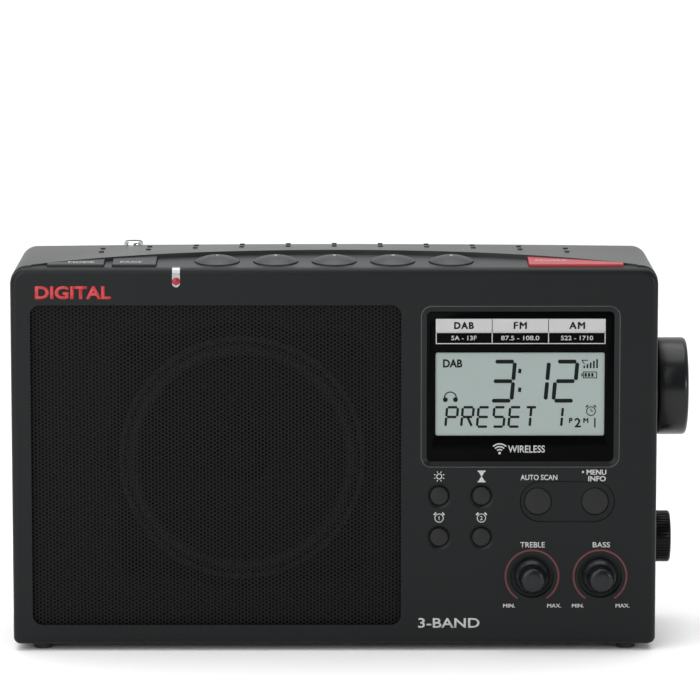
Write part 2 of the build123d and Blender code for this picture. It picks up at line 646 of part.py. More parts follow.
FLANGE_FRONT = BAFFLE_Y - SPEAKER_FLANGE_THICK
BASKET_MOUTH = SPEAKER_HOLE - 4
with BuildPart() as speaker_basket:
    with BuildSketch(facing_front(BAFFLE_Y)):
        with Locations(SPEAKER):
            Circle(SPEAKER_FRAME_RADIUS)
            RectangleRounded(SPEAKER_FRAME_SQUARE, SPEAKER_FRAME_SQUARE, 10)
            Circle(BASKET_MOUTH, mode=Mode.SUBTRACT)
            with GridLocations(2 * SPEAKER_EAR, 2 * SPEAKER_EAR, 2, 2):
                Circle(SPEAKER_SCREW_RADIUS, mode=Mode.SUBTRACT)
    extrude(amount=SPEAKER_FLANGE_THICK)
    with BuildSketch(along_depth(*SPEAKER)):
        with BuildLine():
            Polyline((BASKET_MOUTH, FLANGE_FRONT), (SPEAKER_HOLE - 0.6, BAFFLE_Y),
                     (SPEAKER_HOLE - 0.6, BAFFLE_Y + 6), (34, MAGNET_Y - 1.5), (34, MAGNET_Y),
                     (COIL_RADIUS, MAGNET_Y), (COIL_RADIUS, MAGNET_Y - 1.5), (32.6, MAGNET_Y - 1.5),
                     (SPEAKER_HOLE - 2, BAFFLE_Y + 5.5), (BASKET_MOUTH, FLANGE_FRONT), close=True)
        make_face()
    revolve(axis=Axis((SPEAKER[0], 0, SPEAKER[1]), (0, 1, 0)))
    with BuildSketch(facing_front(BAFFLE_Y + 8)):
        with Locations(SPEAKER):
            with PolarLocations(42, 6):
                SlotOverall(16, 8, rotation=90)
    extrude(amount=-12, mode=Mode.SUBTRACT)
save(speaker_basket, "speaker_basket")

with BuildPart() as speaker_magnet:
    with BuildSketch(facing_front(MAGNET_Y)):
        with Locations(SPEAKER):
            Circle(MAGNET_RADIUS)
    extrude(amount=-MAGNET_THICK)
    fillet(speaker_magnet.edges().filter_by(GeomType.CIRCLE), radius=1)
save(speaker_magnet, "speaker_magnet")

with BuildPart() as speaker_cone:
    with BuildSketch(along_depth(*SPEAKER)):
        with BuildLine():
            Polyline((0, CAP_TOP), (0, CONE_NECK_Y), (COIL_RADIUS - 0.6, CONE_NECK_Y),
                     (COIL_RADIUS - 0.6, COIL_END_Y), (COIL_RADIUS, COIL_END_Y),
                     (COIL_RADIUS + 0.4, CONE_NECK_Y), (CONE_RADIUS, FLANGE_FRONT),
                     (CONE_RADIUS, FLANGE_FRONT - 0.6), (CAP_RADIUS, CAP_RIM_Y))
            RadiusArc((CAP_RADIUS, CAP_RIM_Y), (0, CAP_TOP), dome_radius(CAP_RADIUS, CAP_RIM_Y - CAP_TOP))
        make_face()
    revolve(axis=Axis((SPEAKER[0], 0, SPEAKER[1]), (0, 1, 0)))
save(speaker_cone, "speaker_cone")

with BuildPart() as speaker_surround:
    with BuildSketch(along_depth(*SPEAKER)):
        with BuildLine():
            Line((CONE_RADIUS, FLANGE_FRONT), (SPEAKER_HOLE - 1, FLANGE_FRONT))
            Line((SPEAKER_HOLE - 1, FLANGE_FRONT), (SPEAKER_HOLE - 1, FLANGE_FRONT - 0.6))
            Line((SPEAKER_HOLE - 1, FLANGE_FRONT - 0.6), (SPEAKER_HOLE - 3.5, FLANGE_FRONT - 0.6))
            ThreePointArc((SPEAKER_HOLE - 3.5, FLANGE_FRONT - 0.6), (49.7, FLANGE_FRONT - 3.4),
                          (CONE_RADIUS, FLANGE_FRONT - 0.6))
            Line((CONE_RADIUS, FLANGE_FRONT - 0.6), (CONE_RADIUS, FLANGE_FRONT))
        make_face()
    revolve(axis=Axis((SPEAKER[0], 0, SPEAKER[1]), (0, 1, 0)))
save(speaker_surround, "speaker_surround")

with BuildPart() as speaker_screws:
    for place in SPEAKER_EARS:
        screw(place, FLANGE_FRONT, -1.4, 2.8, SPEAKER_SCREW_RADIUS, RECESS_BACK_Y)
save(speaker_screws, "speaker_screws")

# ---------------------------------------------------------------- display
with BuildPart() as display_window:
    with BuildSketch(facing_front(PANEL_INNER_Y)):
        with Locations(DISPLAY):
            RectangleRounded(*WINDOW_SIZE, 2.2)
    extrude(amount=WINDOW_THICK)
save(display_window, "display_window")

with BuildPart() as lcd_module:
    with BuildSketch(facing_front(PANEL_INNER_Y + 2)):
        with Locations(LCD):
            Rectangle(*LCD_GLASS)
    extrude(amount=1.8)
    with BuildSketch(facing_front(FRONT_BOARD_Y)):
        with Locations(LCD):
            Rectangle(LCD_GLASS[0] + 8, LCD_GLASS[1] + 10)
    extrude(amount=FRONT_BOARD_Y - PANEL_INNER_Y - 2)
save(lcd_module, "lcd_module")

with BuildPart() as indicator_bezel:
    extrude(indicator_profile(INDICATOR_X + PILL_WIDTH / 2), amount=-PILL_WIDTH)
    with BuildSketch(facing_front(FRONT_Y - 1)):
        with Locations((INDICATOR_X, PILL_BOTTOM + 10)):
            SlotOverall(20, PILL_WIDTH, rotation=90)
    extrude(amount=-8, mode=Mode.INTERSECT)
    with BuildSketch(facing_front(FRONT_Y - 1)):
        with Locations((INDICATOR_X, LENS_Z)):
            Circle(LENS_RADIUS)
    extrude(amount=-8, mode=Mode.SUBTRACT)
save(indicator_bezel, "indicator_bezel")

with BuildPart() as indicator_lens:
    with BuildSketch(facing_front(FRONT_Y - PILL_PROUD + PILL_THICK)):
        with Locations((INDICATOR_X, LENS_Z)):
            Circle(LENS_RADIUS)
    extrude(amount=PILL_THICK + 0.3)
    fillet(indicator_lens.edges().sort_by(Axis.Y)[0], radius=0.3)
save(indicator_lens, "indicator_lens")

# ---------------------------------------------------------------- front keys and boards
for name, (x, z) in (SMALL_KEYS | BIG_KEYS).items():
    radius = SMALL_KEY_RADIUS if name in SMALL_KEYS else BIG_KEY_RADIUS
    with BuildPart() as key:
        with BuildSketch(along_depth(x, z)):
            with BuildLine():
                Polyline((0, KEY_FACE - KEY_CROWN), (0, KEY_TAIL), (2.0, KEY_TAIL), (2.0, KEY_FLANGE + 1.2),
                         (radius + 1.1, KEY_FLANGE + 1.2), (radius + 1.1, KEY_FLANGE), (radius, KEY_FLANGE),
                         (radius, KEY_FACE + 0.5), (radius - 0.5, KEY_FACE))
                RadiusArc((radius - 0.5, KEY_FACE), (0, KEY_FACE - KEY_CROWN),
                          dome_radius(radius - 0.5, KEY_CROWN))
            make_face()
        revolve(axis=Axis((x, 0, z), (0, 1, 0)))
    save(key, name)

with BuildPart() as front_board:
    with BuildSketch(facing_front(FRONT_BOARD_Y)):
        with Locations((85.0, 88.5)):
            Rectangle(98, 141)
    extrude(amount=-BOARD_THICK)
save(front_board, "front_board")

with BuildPart() as tact_switches:
    for x, z in (SMALL_KEYS | BIG_KEYS).values():
        with BuildSketch(facing_front(FRONT_BOARD_Y)):
            with Locations((x, z)):
                Rectangle(6, 6)
        extrude(amount=SWITCH_BODY)
        with BuildSketch(facing_front(FRONT_BOARD_Y - SWITCH_BODY)):
            with Locations((x, z)):
                Circle(1.6)
        extrude(amount=SWITCH_TIP)
    for x, y in SWITCHES_BELOW_TOP:
        with BuildSketch(KEY_PLANE.offset(KEY_BOARD_TOP)):
            with Locations((x, y)):
                Rectangle(6, 6)
        extrude(amount=SWITCH_BODY)
        with BuildSketch(KEY_PLANE.offset(KEY_BOARD_TOP + SWITCH_BODY)):
            with Locations((x, y)):
                Circle(1.6)
        extrude(amount=SWITCH_TIP)
save(tact_switches, "tact_switches")

with BuildPart() as main_board:
    with BuildSketch(facing_front(MAIN_BOARD_Y)):
        with Locations((88.0, 114.0)):
            Rectangle(88, 72)
    extrude(amount=-BOARD_THICK)
    with BuildSketch(facing_front(MAIN_BOARD_Y)):
        with Locations((66.0, 124.0)):
            Rectangle(30, 24)
    extrude(amount=5)
save(main_board, "main_board")

with BuildPart() as ferrite_aerial:
    with BuildSketch(facing_right(-70)):
        with Locations(FERRITE):
            Circle(FERRITE_RADIUS)
    extrude(amount=140)
    with BuildSketch(facing_right(20)):
        with Locations(FERRITE):
            Circle(FERRITE_RADIUS + 1.5)
    extrude(amount=25)
save(ferrite_aerial, "ferrite_aerial")

# ---------------------------------------------------------------- tone knobs
with BuildPart() as tone_pots:
    for x, z in (TREBLE, BASS):
        with BuildSketch(facing_front(FRONT_BOARD_Y)):
            with Locations((x, z)):
                Rectangle(13, 13)
        extrude(amount=5.7)
        with BuildSketch(facing_front(FRONT_Y)):
            with Locations((x, z)):
                Circle(SHAFT_RADIUS + 0.1)
        extrude(amount=-9.5, mode=Mode.SUBTRACT)
save(tone_pots, "tone_pots")

for name, (x, z) in {"treble": TREBLE, "bass": BASS}.items():
    spin_axis = Axis((x, 0, z), (0, 1, 0))
    with BuildPart() as shaft:
        with BuildSketch(facing_front(-35.0)):
            with Locations((x, z)):
                Circle(SHAFT_RADIUS)
        extrude(amount=15)
    save(shaft, f"{name}_shaft")
    with BuildPart() as knob:
        with BuildSketch(along_depth(x, z)):
            with BuildLine():
                Polyline((0, KNOB_FRONT_Y), (0, KNOB_SOCKET_Y), (SHAFT_RADIUS, KNOB_SOCKET_Y),
                         (SHAFT_RADIUS, KNOB_BACK_Y), (SKIRT_RADIUS, KNOB_BACK_Y),
                         (SKIRT_RADIUS, SKIRT_FRONT_Y + 0.7), (SKIRT_RADIUS - 0.45, SKIRT_FRONT_Y + 0.3),
                         (CAP_BASE_RADIUS, SKIRT_FRONT_Y), (CAP_BASE_RADIUS - 0.6, KNOB_FRONT_Y + 0.7),
                         (CAP_BASE_RADIUS - 1.3, KNOB_FRONT_Y), close=True)
            make_face()
        revolve(axis=spin_axis)
    save(knob, f"{name}_knob")

# ---------------------------------------------------------------- side controls
INNER_WALL_X = HALF_WIDTH - WALL
for name, place, size, length in (("tuning_encoder", TUNING, 14, 8), ("volume_pot", VOLUME, 13, 7)):
    with BuildPart() as control:
        with BuildSketch(facing_right(INNER_WALL_X)):
            with Locations(place):
                Rectangle(size, size)
                Circle(SHAFT_RADIUS + 0.1, mode=Mode.SUBTRACT)
        extrude(amount=-length)
    save(control, name)

with BuildPart() as tuning_collar:
    with BuildSketch(facing_right(HALF_WIDTH)):
        with Locations(TUNING):
            Circle(COLLAR_RADIUS)
            Circle(15, mode=Mode.SUBTRACT)
    extrude(amount=COLLAR_THICK)
    fillet(tuning_collar.edges().filter_by(GeomType.CIRCLE).sort_by(Axis.X)[-1], radius=0.5)
save(tuning_collar, "tuning_collar")

for name, place, start, knob_start, end, radius, round_edge in (
    ("tuning", TUNING, 137.0, HALF_WIDTH + 2.2, TUNING_END, TUNING_RADIUS, 1.2),
    ("volume", VOLUME, 138.0, HALF_WIDTH + 0.8, VOLUME_END, VOLUME_RADIUS, 0.8),
):
    with BuildPart() as shaft:
        with BuildSketch(facing_right(start)):
            with Locations(place):
                Circle(SHAFT_RADIUS)
        extrude(amount=end - 3 - start)
    save(shaft, f"{name}_shaft")
    with BuildPart() as knob:
        with BuildSketch(facing_right(knob_start)):
            with Locations(place):
                Circle(radius)
        extrude(amount=end - knob_start)
        fillet(knob.faces().sort_by(Axis.X)[-1].edges(), radius=round_edge)
        with BuildSketch(facing_right(knob_start)):
            with Locations(place):
                Circle(SHAFT_RADIUS)
        extrude(amount=end - 3 - knob_start, mode=Mode.SUBTRACT)
    save(knob, f"{name}_knob")

# ---------------------------------------------------------------- sockets on the left side
for name, place in zip(("headphone_jack", "aux_jack"), JACKS):
    with BuildPart() as jack:
        with BuildSketch(facing_right(-INNER_WALL_X)):
            with Locations(place):
                Rectangle(9, 9)
        extrude(amount=JACK_LENGTH)
        with BuildSketch(facing_right(-HALF_WIDTH)):
            with Locations(place):
                Circle(JACK_NOSE)
        extrude(amount=WALL)
        with BuildSketch(facing_right(-HALF_WIDTH)):
            with Locations(place):
                Circle(JACK_BORE)
        extrude(amount=JACK_LENGTH, mode=Mode.SUBTRACT)
    save(jack, name)

with BuildPart() as power_inlet:
    with BuildSketch(facing_right(-INNER_WALL_X)):
        with Locations(POWER_INLET):
            Rectangle(10, 11)
    extrude(amount=12)
    with BuildSketch(facing_right(-HALF_WIDTH)):
        with Locations(POWER_INLET):
            Circle(INLET_NOSE)
    extrude(amount=WALL)
    with BuildSketch(facing_right(-HALF_WIDTH)):
        with Locations(POWER_INLET):
            Circle(INLET_BORE)
    extrude(amount=11, mode=Mode.SUBTRACT)
    with BuildSketch(facing_right(-HALF_WIDTH + 1.5)):
        with Locations(POWER_INLET):
            Circle(INLET_PIN)
    extrude(amount=10)
save(power_inlet, "power_inlet")

# ---------------------------------------------------------------- battery bay
with BuildPart() as battery_cells:
    for z, direction in zip(CELL_ROWS, (1, -1)):
        for i in (-1, 0, 1):
            start = direction * (CELL_LENGTH * (i - 0.5) + CELL_SHIFT)
            with BuildSketch(facing_right(start)):
                with Locations((CELL_Y, z)):
                    Circle(CELL_RADIUS)
            extrude(amount=direction * (CELL_LENGTH - CELL_NUB))
            with BuildSketch(facing_right(start + direction * (CELL_LENGTH - CELL_NUB))):
                with Locations((CELL_Y, z)):
                    Circle(3)
            extrude(amount=direction * (CELL_NUB - 0.02))
save(battery_cells, "battery_cells")

with BuildPart() as battery_contacts:
    for z, direction in zip(CELL_ROWS, (1, -1)):
        for side in (-1, 1):
            with BuildSketch(facing_right(side * BAY_SIZE[0] / 2)):
                with Locations((CELL_Y, z)):
                    Rectangle(18, 18)
            extrude(amount=-side * CONTACT_THICK)
        plate_x = -direction * (BAY_SIZE[0] / 2 - CONTACT_THICK)
        cell_x = -direction * (1.5 * CELL_LENGTH - CELL_SHIFT)
        with BuildSketch(Plane(origin=(plate_x, CELL_Y, z), x_dir=(1, 0, 0), z_dir=(0, 0, 1))):
            with BuildLine():
                Polyline((0, 5.5), (0, 7), (cell_x - plate_x, 4.5), (cell_x - plate_x, 3), close=True)
            make_face()
        revolve(axis=Axis((0, CELL_Y, z), (1, 0, 0)))
        nub_x = direction * (1.5 * CELL_LENGTH + CELL_SHIFT)
        with BuildSketch(facing_right(nub_x)):
            with Locations((CELL_Y, z)):
                Circle(3)
        extrude(amount=direction * (BAY_SIZE[0] / 2 - CONTACT_THICK - direction * nub_x))
save(battery_contacts, "battery_contacts")

with BuildPart() as battery_door:
    door_left = -DOOR_SIZE[0] / 2
    with BuildSketch(facing_right(door_left)):
        top = DOOR_Z + DOOR_SIZE[1] / 2
        with Locations(DOOR_AXIS):
            Circle(DOOR_THICK / 2)
        with Locations((DOOR_AXIS[0], (top + DOOR_AXIS[1]) / 2)):
            Rectangle(DOOR_THICK, top - DOOR_AXIS[1])
    extrude(amount=DOOR_SIZE[0])
    # thumb notch in the upper edge, stiffening ribs outside and the hinge pins
    with BuildSketch(facing_front(BACK_Y + 1)):
        with Locations((0, DOOR_Z + DOOR_SIZE[1] / 2)):
            SlotOverall(26, 7)
    extrude(amount=2, mode=Mode.SUBTRACT)
    with BuildSketch(facing_right(door_left - 1.8)):
        with Locations(DOOR_AXIS):
            Circle(DOOR_PIN)
    extrude(amount=DOOR_SIZE[0] + 3.6)
save(battery_door, "battery_door")

# ---------------------------------------------------------------- feet and screws
with BuildPart() as feet:
    with BuildSketch(Plane.XY):
        with GridLocations(2 * FOOT_PLACE[0], 2 * FOOT_PLACE[1], 2, 2):
            Circle(FOOT_RADIUS)
    extrude(amount=FOOT_HEIGHT)
    fillet(feet.edges().filter_by(GeomType.CIRCLE).group_by(Axis.Z)[0], radius=0.6)
save(feet, "feet")

with BuildPart() as case_screws:
    for place in SCREW_PLACES:
        screw(place, WELL_FLOOR_Y, 2.0, 3.0, 1.3, WELL_FLOOR_Y - 14)
save(case_screws, "case_screws")

# ---------------------------------------------------------------- antenna
ax, ay = ANTENNA
TURRET_BASE = LEDGE_Z + 0.2
with BuildPart() as antenna_base:
    with BuildSketch(Plane.XY.offset(TURRET_BASE)):
        with Locations(ANTENNA):
            Circle(TURRET_RADIUS)
    extrude(amount=TURRET_TOP - TURRET_BASE)
    fillet(antenna_base.edges().filter_by(GeomType.CIRCLE).sort_by(Axis.Z)[-1], radius=1.6)
    add(box_between((ax - 6, ay - SLOT_HALF, HINGE_Z - 3.3), (ax + 6, ay + SLOT_HALF, TURRET_TOP + 1)),
        mode=Mode.SUBTRACT)
    with BuildSketch(Plane.XY.offset(LEDGE_Z - WALL - 3)):
        with Locations(ANTENNA):
            Circle(SHANK_RADIUS)
    extrude(amount=TURRET_BASE - LEDGE_Z + WALL + 3)
    with BuildSketch(Plane.XY.offset(LEDGE_Z - WALL - 2)):
        with Locations(ANTENNA):
            Circle(SHANK_RADIUS + 1)
    extrude(amount=1.7)
    with BuildSketch(facing_front(ay + TURRET_RADIUS - 0.3)):
        with Locations((ax, HINGE_Z)):
            Circle(HINGE_PIN)
    extrude(amount=2 * TURRET_RADIUS - 0.6)
save(antenna_base, "antenna_base")

with BuildPart() as antenna_knuckle:
    with BuildSketch(facing_front(ay + KNUCKLE_HALF)):
        with Locations((ax, HINGE_Z)):
            Circle(KNUCKLE_RADIUS)
        with Locations((ax + SECTION_START / 2, HINGE_Z)):
            Rectangle(SECTION_START, 2 * KNUCKLE_RADIUS)
        with Locations((ax, HINGE_Z)):
            Circle(HINGE_PIN + 0.05, mode=Mode.SUBTRACT)
    extrude(amount=2 * KNUCKLE_HALF)
    with BuildSketch(facing_right(ax + 8.2)):
        with Locations((ay, HINGE_Z)):
            Circle(SECTION_RADII[0])
    extrude(amount=SECTION_START - 8.2)
save(antenna_knuckle, "antenna_knuckle")

for number, radius in enumerate(SECTION_RADII, start=1):
    start = ax + SECTION_START + 1.5 * (number - 1)
    end = ax + SECTION_START + SECTION_LENGTH + 1.0 * (number - 1)
    with BuildPart() as section:
        with BuildSketch(facing_right(start)):
            with Locations((ay, HINGE_Z)):
                Circle(radius)
        extrude(amount=end - start)
        if number <= len(SECTION_BORES):
            with BuildSketch(facing_right(start + 1.2)):
                with Locations((ay, HINGE_Z)):
                    Circle(SECTION_BORES[number - 1])
            extrude(amount=end - start, mode=Mode.SUBTRACT)
        else:
            with BuildSketch(facing_right(end)):
                with Locations((ay, HINGE_Z)):
                    Circle(SECTION_RADII[0])
            extrude(amount=3.5)
            fillet(section.edges().filter_by(GeomType.CIRCLE).sort_by(Axis.X)[-1], radius=1)
    save(section, f"antenna_section_{number}")
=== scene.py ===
# %% [markdown]
# # A tabletop radio
# The frame holds every hard part at its real size. Here the radio gets its finishes, its printed marks,
# the perforated grille, the picture in the display, and finer knobs, dials and screws. Everything is in
# metres: X runs to the tuning dial's side, Y from front to back, Z up from the table.

# %% The frame
import math
import bpy
from mathutils import Matrix, Vector


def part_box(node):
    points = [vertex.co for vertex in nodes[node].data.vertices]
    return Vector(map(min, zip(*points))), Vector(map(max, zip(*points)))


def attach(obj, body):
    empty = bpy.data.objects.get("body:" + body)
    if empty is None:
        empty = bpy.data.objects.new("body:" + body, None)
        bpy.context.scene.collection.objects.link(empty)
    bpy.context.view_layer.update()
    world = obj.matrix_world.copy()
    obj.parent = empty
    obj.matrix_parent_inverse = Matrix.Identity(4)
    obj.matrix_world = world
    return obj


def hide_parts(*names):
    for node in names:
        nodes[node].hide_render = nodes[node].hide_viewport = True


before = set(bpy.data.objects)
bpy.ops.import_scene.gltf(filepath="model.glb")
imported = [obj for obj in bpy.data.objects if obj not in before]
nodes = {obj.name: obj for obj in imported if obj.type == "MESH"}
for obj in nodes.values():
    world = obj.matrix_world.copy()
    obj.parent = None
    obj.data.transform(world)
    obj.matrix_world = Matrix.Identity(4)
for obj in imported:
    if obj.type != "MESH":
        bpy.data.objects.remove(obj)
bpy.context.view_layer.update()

MM = 0.001

# %% [markdown]
# ## Camera
# A long lens far in front shows the front panel almost square on, and from slightly above, so that the
# top keys can be seen too. A long lens also keeps the upright edges almost parallel.

# %% Camera
LOOK_FROM = Vector((0, -2.027, 0.4207))
LOOK_AT = Vector((0.0071, -0.044, 0.1388))
bpy.ops.object.select_all(action="DESELECT")
bpy.ops.object.camera_add(location=LOOK_FROM)
camera = bpy.context.object
camera.rotation_euler = (LOOK_AT - LOOK_FROM).to_track_quat("-Z", "Y").to_euler()
camera.data.lens = 227.8
camera.data.sensor_width = 36
camera.data.clip_end = 50
bpy.context.scene.camera = camera
print("camera", round((LOOK_AT - LOOK_FROM).length, 2), "m away, lens", round(camera.data.lens, 1), "mm")

# %% [markdown]
# ## Studio
# A pale floor carries the radio. The surroundings are brighter behind it than in front, which gives the
# top its sheen and keeps the front dark. A wide soft sun from above whitens the floor evenly, a large
# lamp at the upper left lifts the front, and a small one at the right draws its edge. Plain colour
# management keeps the plastic as dark as it is.

# %% Floor and lights
MIDDLE = 0.5  # how bright the surroundings are to the sides
BEHIND = 0.92  # and straight behind the radio
FLOOR_SIZE = 40

bpy.context.scene.view_settings.view_transform = "Standard"
world = bpy.data.worlds.new("studio")
world.use_nodes = True
sky = world.node_tree.nodes
direction = sky.new("ShaderNodeTexCoord")
parts = sky.new("ShaderNodeSeparateXYZ")
strength = sky.new("ShaderNodeMath")
strength.operation = "MULTIPLY_ADD"
strength.inputs[1].default_value = BEHIND - MIDDLE
strength.inputs[2].default_value = MIDDLE
world.node_tree.links.new(direction.outputs["Generated"], parts.inputs[0])
world.node_tree.links.new(parts.outputs["Y"], strength.inputs[0])
world.node_tree.links.new(strength.outputs[0], sky["Background"].inputs["Strength"])
sky["Background"].inputs["Color"].default_value = (1, 1, 1, 1)
bpy.context.scene.world = world


def area_light(name, place, target, size, watts):
    """Adds a soft square light that shines from place to target."""
    bpy.ops.object.light_add(type="AREA", location=place)
    light = bpy.context.object
    light.name = name
    light.data.size = size
    light.data.energy = watts
    light.rotation_euler = (Vector(target) - Vector(place)).to_track_quat("-Z", "Y").to_euler()


area_light("front_left", (-0.62, -0.9, 0.72), (-0.05, 0, 0.1), 1.3, 15)
area_light("right_edge", (1.3, -1.2, 0.4), (0.1, 0, 0.1), 0.4, 6)
bpy.ops.object.light_add(type="SUN", location=(0, 1, 2))
sun = bpy.context.object
sun.name = "overhead"
sun.data.energy = 2.15
sun.data.angle = math.radians(60)
sun.rotation_euler = Vector((0, -0.12, -1)).to_track_quat("-Z", "Y").to_euler()

bpy.ops.object.select_all(action="DESELECT")
bpy.ops.mesh.primitive_grid_add(x_subdivisions=4, y_subdivisions=4, size=FLOOR_SIZE)
floor = bpy.context.object
floor.name = "floor"

# %% [markdown]
# ## Writing shader maths
# `Signal` wraps one output of a shader node. With it, a sum such as `1 - mask * 0.3` can be written as
# Python and turns into Math nodes.


# %% Signals
class Signal:
    """One value that varies over a surface, with arithmetic."""

    def __init__(self, finish, output):
        self.finish = finish
        self.output = output

    def maths(self, operation, *values):
        inputs = dict(enumerate(values))
        return self.finish.node("ShaderNodeMath", {"operation": operation}, inputs)

    def __add__(self, other):
        return self.maths("ADD", self, other)

    __radd__ = __add__

    def __sub__(self, other):
        return self.maths("SUBTRACT", self, other)

    def __rsub__(self, other):
        return self.maths("SUBTRACT", other, self)

    def __mul__(self, other):
        return self.maths("MULTIPLY", self, other)

    __rmul__ = __mul__

    def __gt__(self, other):
        return self.maths("GREATER_THAN", self, other)

    def __lt__(self, other):
        return self.maths("LESS_THAN", self, other)

    def fraction(self):
        return self.maths("FRACT", self)


print("a signal knows", sum(callable(item) for item in vars(Signal).values()), "operations")

# %% [markdown]
# ## Finishes
# A finish is a Principled shader with a few nodes in front of it. All its patterns are measured in the
# piece's own coordinates, so they stay put when the piece moves. The floor is the first piece to get one.


# %% Finishes
class Finish:
    """A material built around one Principled shader."""

    def __init__(self, name, color, roughness, **constants):
        self.material = bpy.data.materials.new(name)
        self.material.use_nodes = True
        self.tree = self.material.node_tree
        self.shader = self.tree.nodes["Principled BSDF"]
        self.set("Base Color", (*color, 1))
        self.set("Roughness", roughness)
        for socket, value in constants.items():
            self.set(socket.replace("_", " "), value)
        self.place = self.node("ShaderNodeTexCoord", output="Object")

    def feed(self, socket, value):
        if isinstance(value, Signal):
            self.tree.links.new(value.output, socket)
        else:
            socket.default_value = value

    def set(self, socket, value):
        self.feed(self.shader.inputs[socket], value)

    def node(self, kind, settings=None, inputs=None, output=0):
        """Adds any node: its settings first, then the values or links of its sockets."""
        node = self.tree.nodes.new(kind)
        for key, value in (settings or {}).items():
            setattr(node, key, value)
        for key, value in (inputs or {}).items():
            self.feed(node.inputs[key], value)
        return Signal(self, node.outputs[output])

    def noise(self, scale, detail=2.0, stretch=None):
        place = self.place
        if stretch:
            place = self.node("ShaderNodeMapping", inputs={"Vector": place, "Scale": stretch})
        return self.node("ShaderNodeTexNoise", inputs={"Vector": place, "Scale": scale, "Detail": detail})

    def axis(self, name):
        return self.node("ShaderNodeSeparateXYZ", inputs={0: self.place}, output=name)

    def blend(self, share, first, second):
        """A colour between two colours."""
        first = first if isinstance(first, Signal) else (*first, 1)
        second = second if isinstance(second, Signal) else (*second, 1)
        return self.node("ShaderNodeMix", {"data_type": "RGBA"},
                         {"Factor": share, 6: first, 7: second}, output=2)

    def relief(self, height, distance, strength=1.0):
        self.set("Normal", self.node("ShaderNodeBump", inputs={
            "Height": height, "Distance": distance, "Strength": strength}, output="Normal"))

    def cover(self, *pieces):
        """Gives this finish to pieces, in place of whatever they had."""
        for piece in pieces:
            piece.data.materials.clear()
            piece.data.materials.append(self.material)


def mottled(name, dark, light, roughness, scale, detail=2.0, **constants):
    """A finish that wanders between two colours, and the noise that it follows."""
    finish = Finish(name, dark, roughness, **constants)
    pattern = finish.noise(scale, detail)
    finish.set("Base Color", finish.blend(pattern, dark, light))
    return finish, pattern


pale_floor, _ = mottled("pale_floor", (0.89, 0.89, 0.89), (0.91, 0.91, 0.91), 0.6, 3.0)
pale_floor.cover(floor)
print("the floor's finish has", len(pale_floor.tree.nodes), "nodes")

# %% [markdown]
# ## Moulded plastic
# The case is injection moulded in a spark-eroded tool, which leaves a fine even grain of about half a
# millimetre. A fine noise makes the grain, and a slow one varies the colour and sheen as handling does.


# %% Moulded plastic finishes
def moulded(name, color, roughness, grain, depth, lift=0.006, shine=0.5):
    """A moulded plastic with a fine grain; lift is how much lighter the peaks of the grain are."""
    plastic = Finish(name, color, roughness, Specular_IOR_Level=shine)
    fine = plastic.noise(1 / grain, 3.0)
    slow = plastic.noise(14.0, 2.0)
    lighter = tuple(c + lift for c in color)
    plastic.set("Base Color", plastic.blend(fine * 0.6 + slow * 0.4, color, lighter))
    plastic.set("Roughness", roughness + (slow - 0.5) * 0.16 + (fine - 0.5) * 0.1)
    plastic.relief(fine, depth)
    return plastic


front_plastic = moulded("front_plastic", (0.0035, 0.0046, 0.005), 0.38, 0.00045, 0.00003, 0.003, 0.17)
case_plastic = moulded("case_plastic", (0.017, 0.0192, 0.021), 0.38, 0.0006, 0.00006, shine=0.42)
plate_plastic = moulded("plate_plastic", (0.016, 0.018, 0.02), 0.42, 0.0006, 0.00005, shine=0.4)
key_plastic = moulded("key_plastic", (0.009, 0.0093, 0.0097), 0.46, 0.0004, 0.00003, 0.004, 0.2)
dial_plastic = moulded("dial_plastic", (0.005, 0.0057, 0.0068), 0.26, 0.0004, 0.00002, 0.002, 0.28)
red_plastic = moulded("red_plastic", (0.35, 0.018, 0.026), 0.4, 0.0006, 0.00004, 0.03)
wheel_plastic = moulded("wheel_plastic", (0.0018, 0.002, 0.0023), 0.3, 0.0004, 0.00002, 0.001, 0.12)
component_plastic = moulded("component_plastic", (0.015, 0.015, 0.016), 0.5, 0.0005, 0.00002)

front_plastic.cover(nodes["front_panel"])
case_plastic.cover(nodes["rear_cabinet"], nodes["battery_door"])
plate_plastic.cover(nodes["top_key_plate"], nodes["mode_key"], nodes["page_key"],
                    *[nodes[f"preset_{i}_key"] for i in range(1, 6)])
FRONT_KEYS = [f"{name}_button" for name in ("light", "sleep", "alarm_1", "alarm_2", "tuning_scan", "menu")]
key_plastic.cover(*[nodes[name] for name in FRONT_KEYS])
dial_plastic.cover(*[nodes[name] for name in ("tuning_knob", "volume_knob", "tuning_collar", "treble_knob",
                                              "bass_knob")])
red_plastic.cover(nodes["power_key"])
component_plastic.cover(*[nodes[name] for name in (
    "tact_switches", "tone_pots", "tuning_encoder", "volume_pot", "headphone_jack", "aux_jack",
    "power_inlet")])
print("moulded so far:", [item.name for item in bpy.data.materials if item.name.endswith("plastic")])

# %% [markdown]
# ## Metals, rubber, paper and boards
# Chrome is smooth with faint polishing marks. Zinc-plated steel is duller and mottled. Rubber and pulp
# are matte. The sleeve of the battery cells carries a copper band at the end of each cell.

# %% Other finishes
chrome = Finish("chrome", (0.72, 0.73, 0.75), 0.12, Metallic=1.0)
chrome_marks = chrome.noise(900.0, 2.0, (0.05, 1, 1))
chrome.set("Roughness", 0.08 + chrome_marks * 0.12)
chrome.relief(chrome_marks, 0.000004)

steel, steel_mottle = mottled("zinc_steel", (0.36, 0.37, 0.39), (0.62, 0.63, 0.64), 0.35, 260.0, 4.0,
                              Metallic=1.0)
steel.set("Roughness", 0.25 + steel_mottle * 0.25)
bezel_metal, bezel_marks = mottled("bezel_metal", (0.28, 0.28, 0.29), (0.44, 0.44, 0.45), 0.3, 1500.0,
                                   Metallic=1.0)
bezel_metal.set("Roughness", 0.25 + bezel_marks * 0.15)

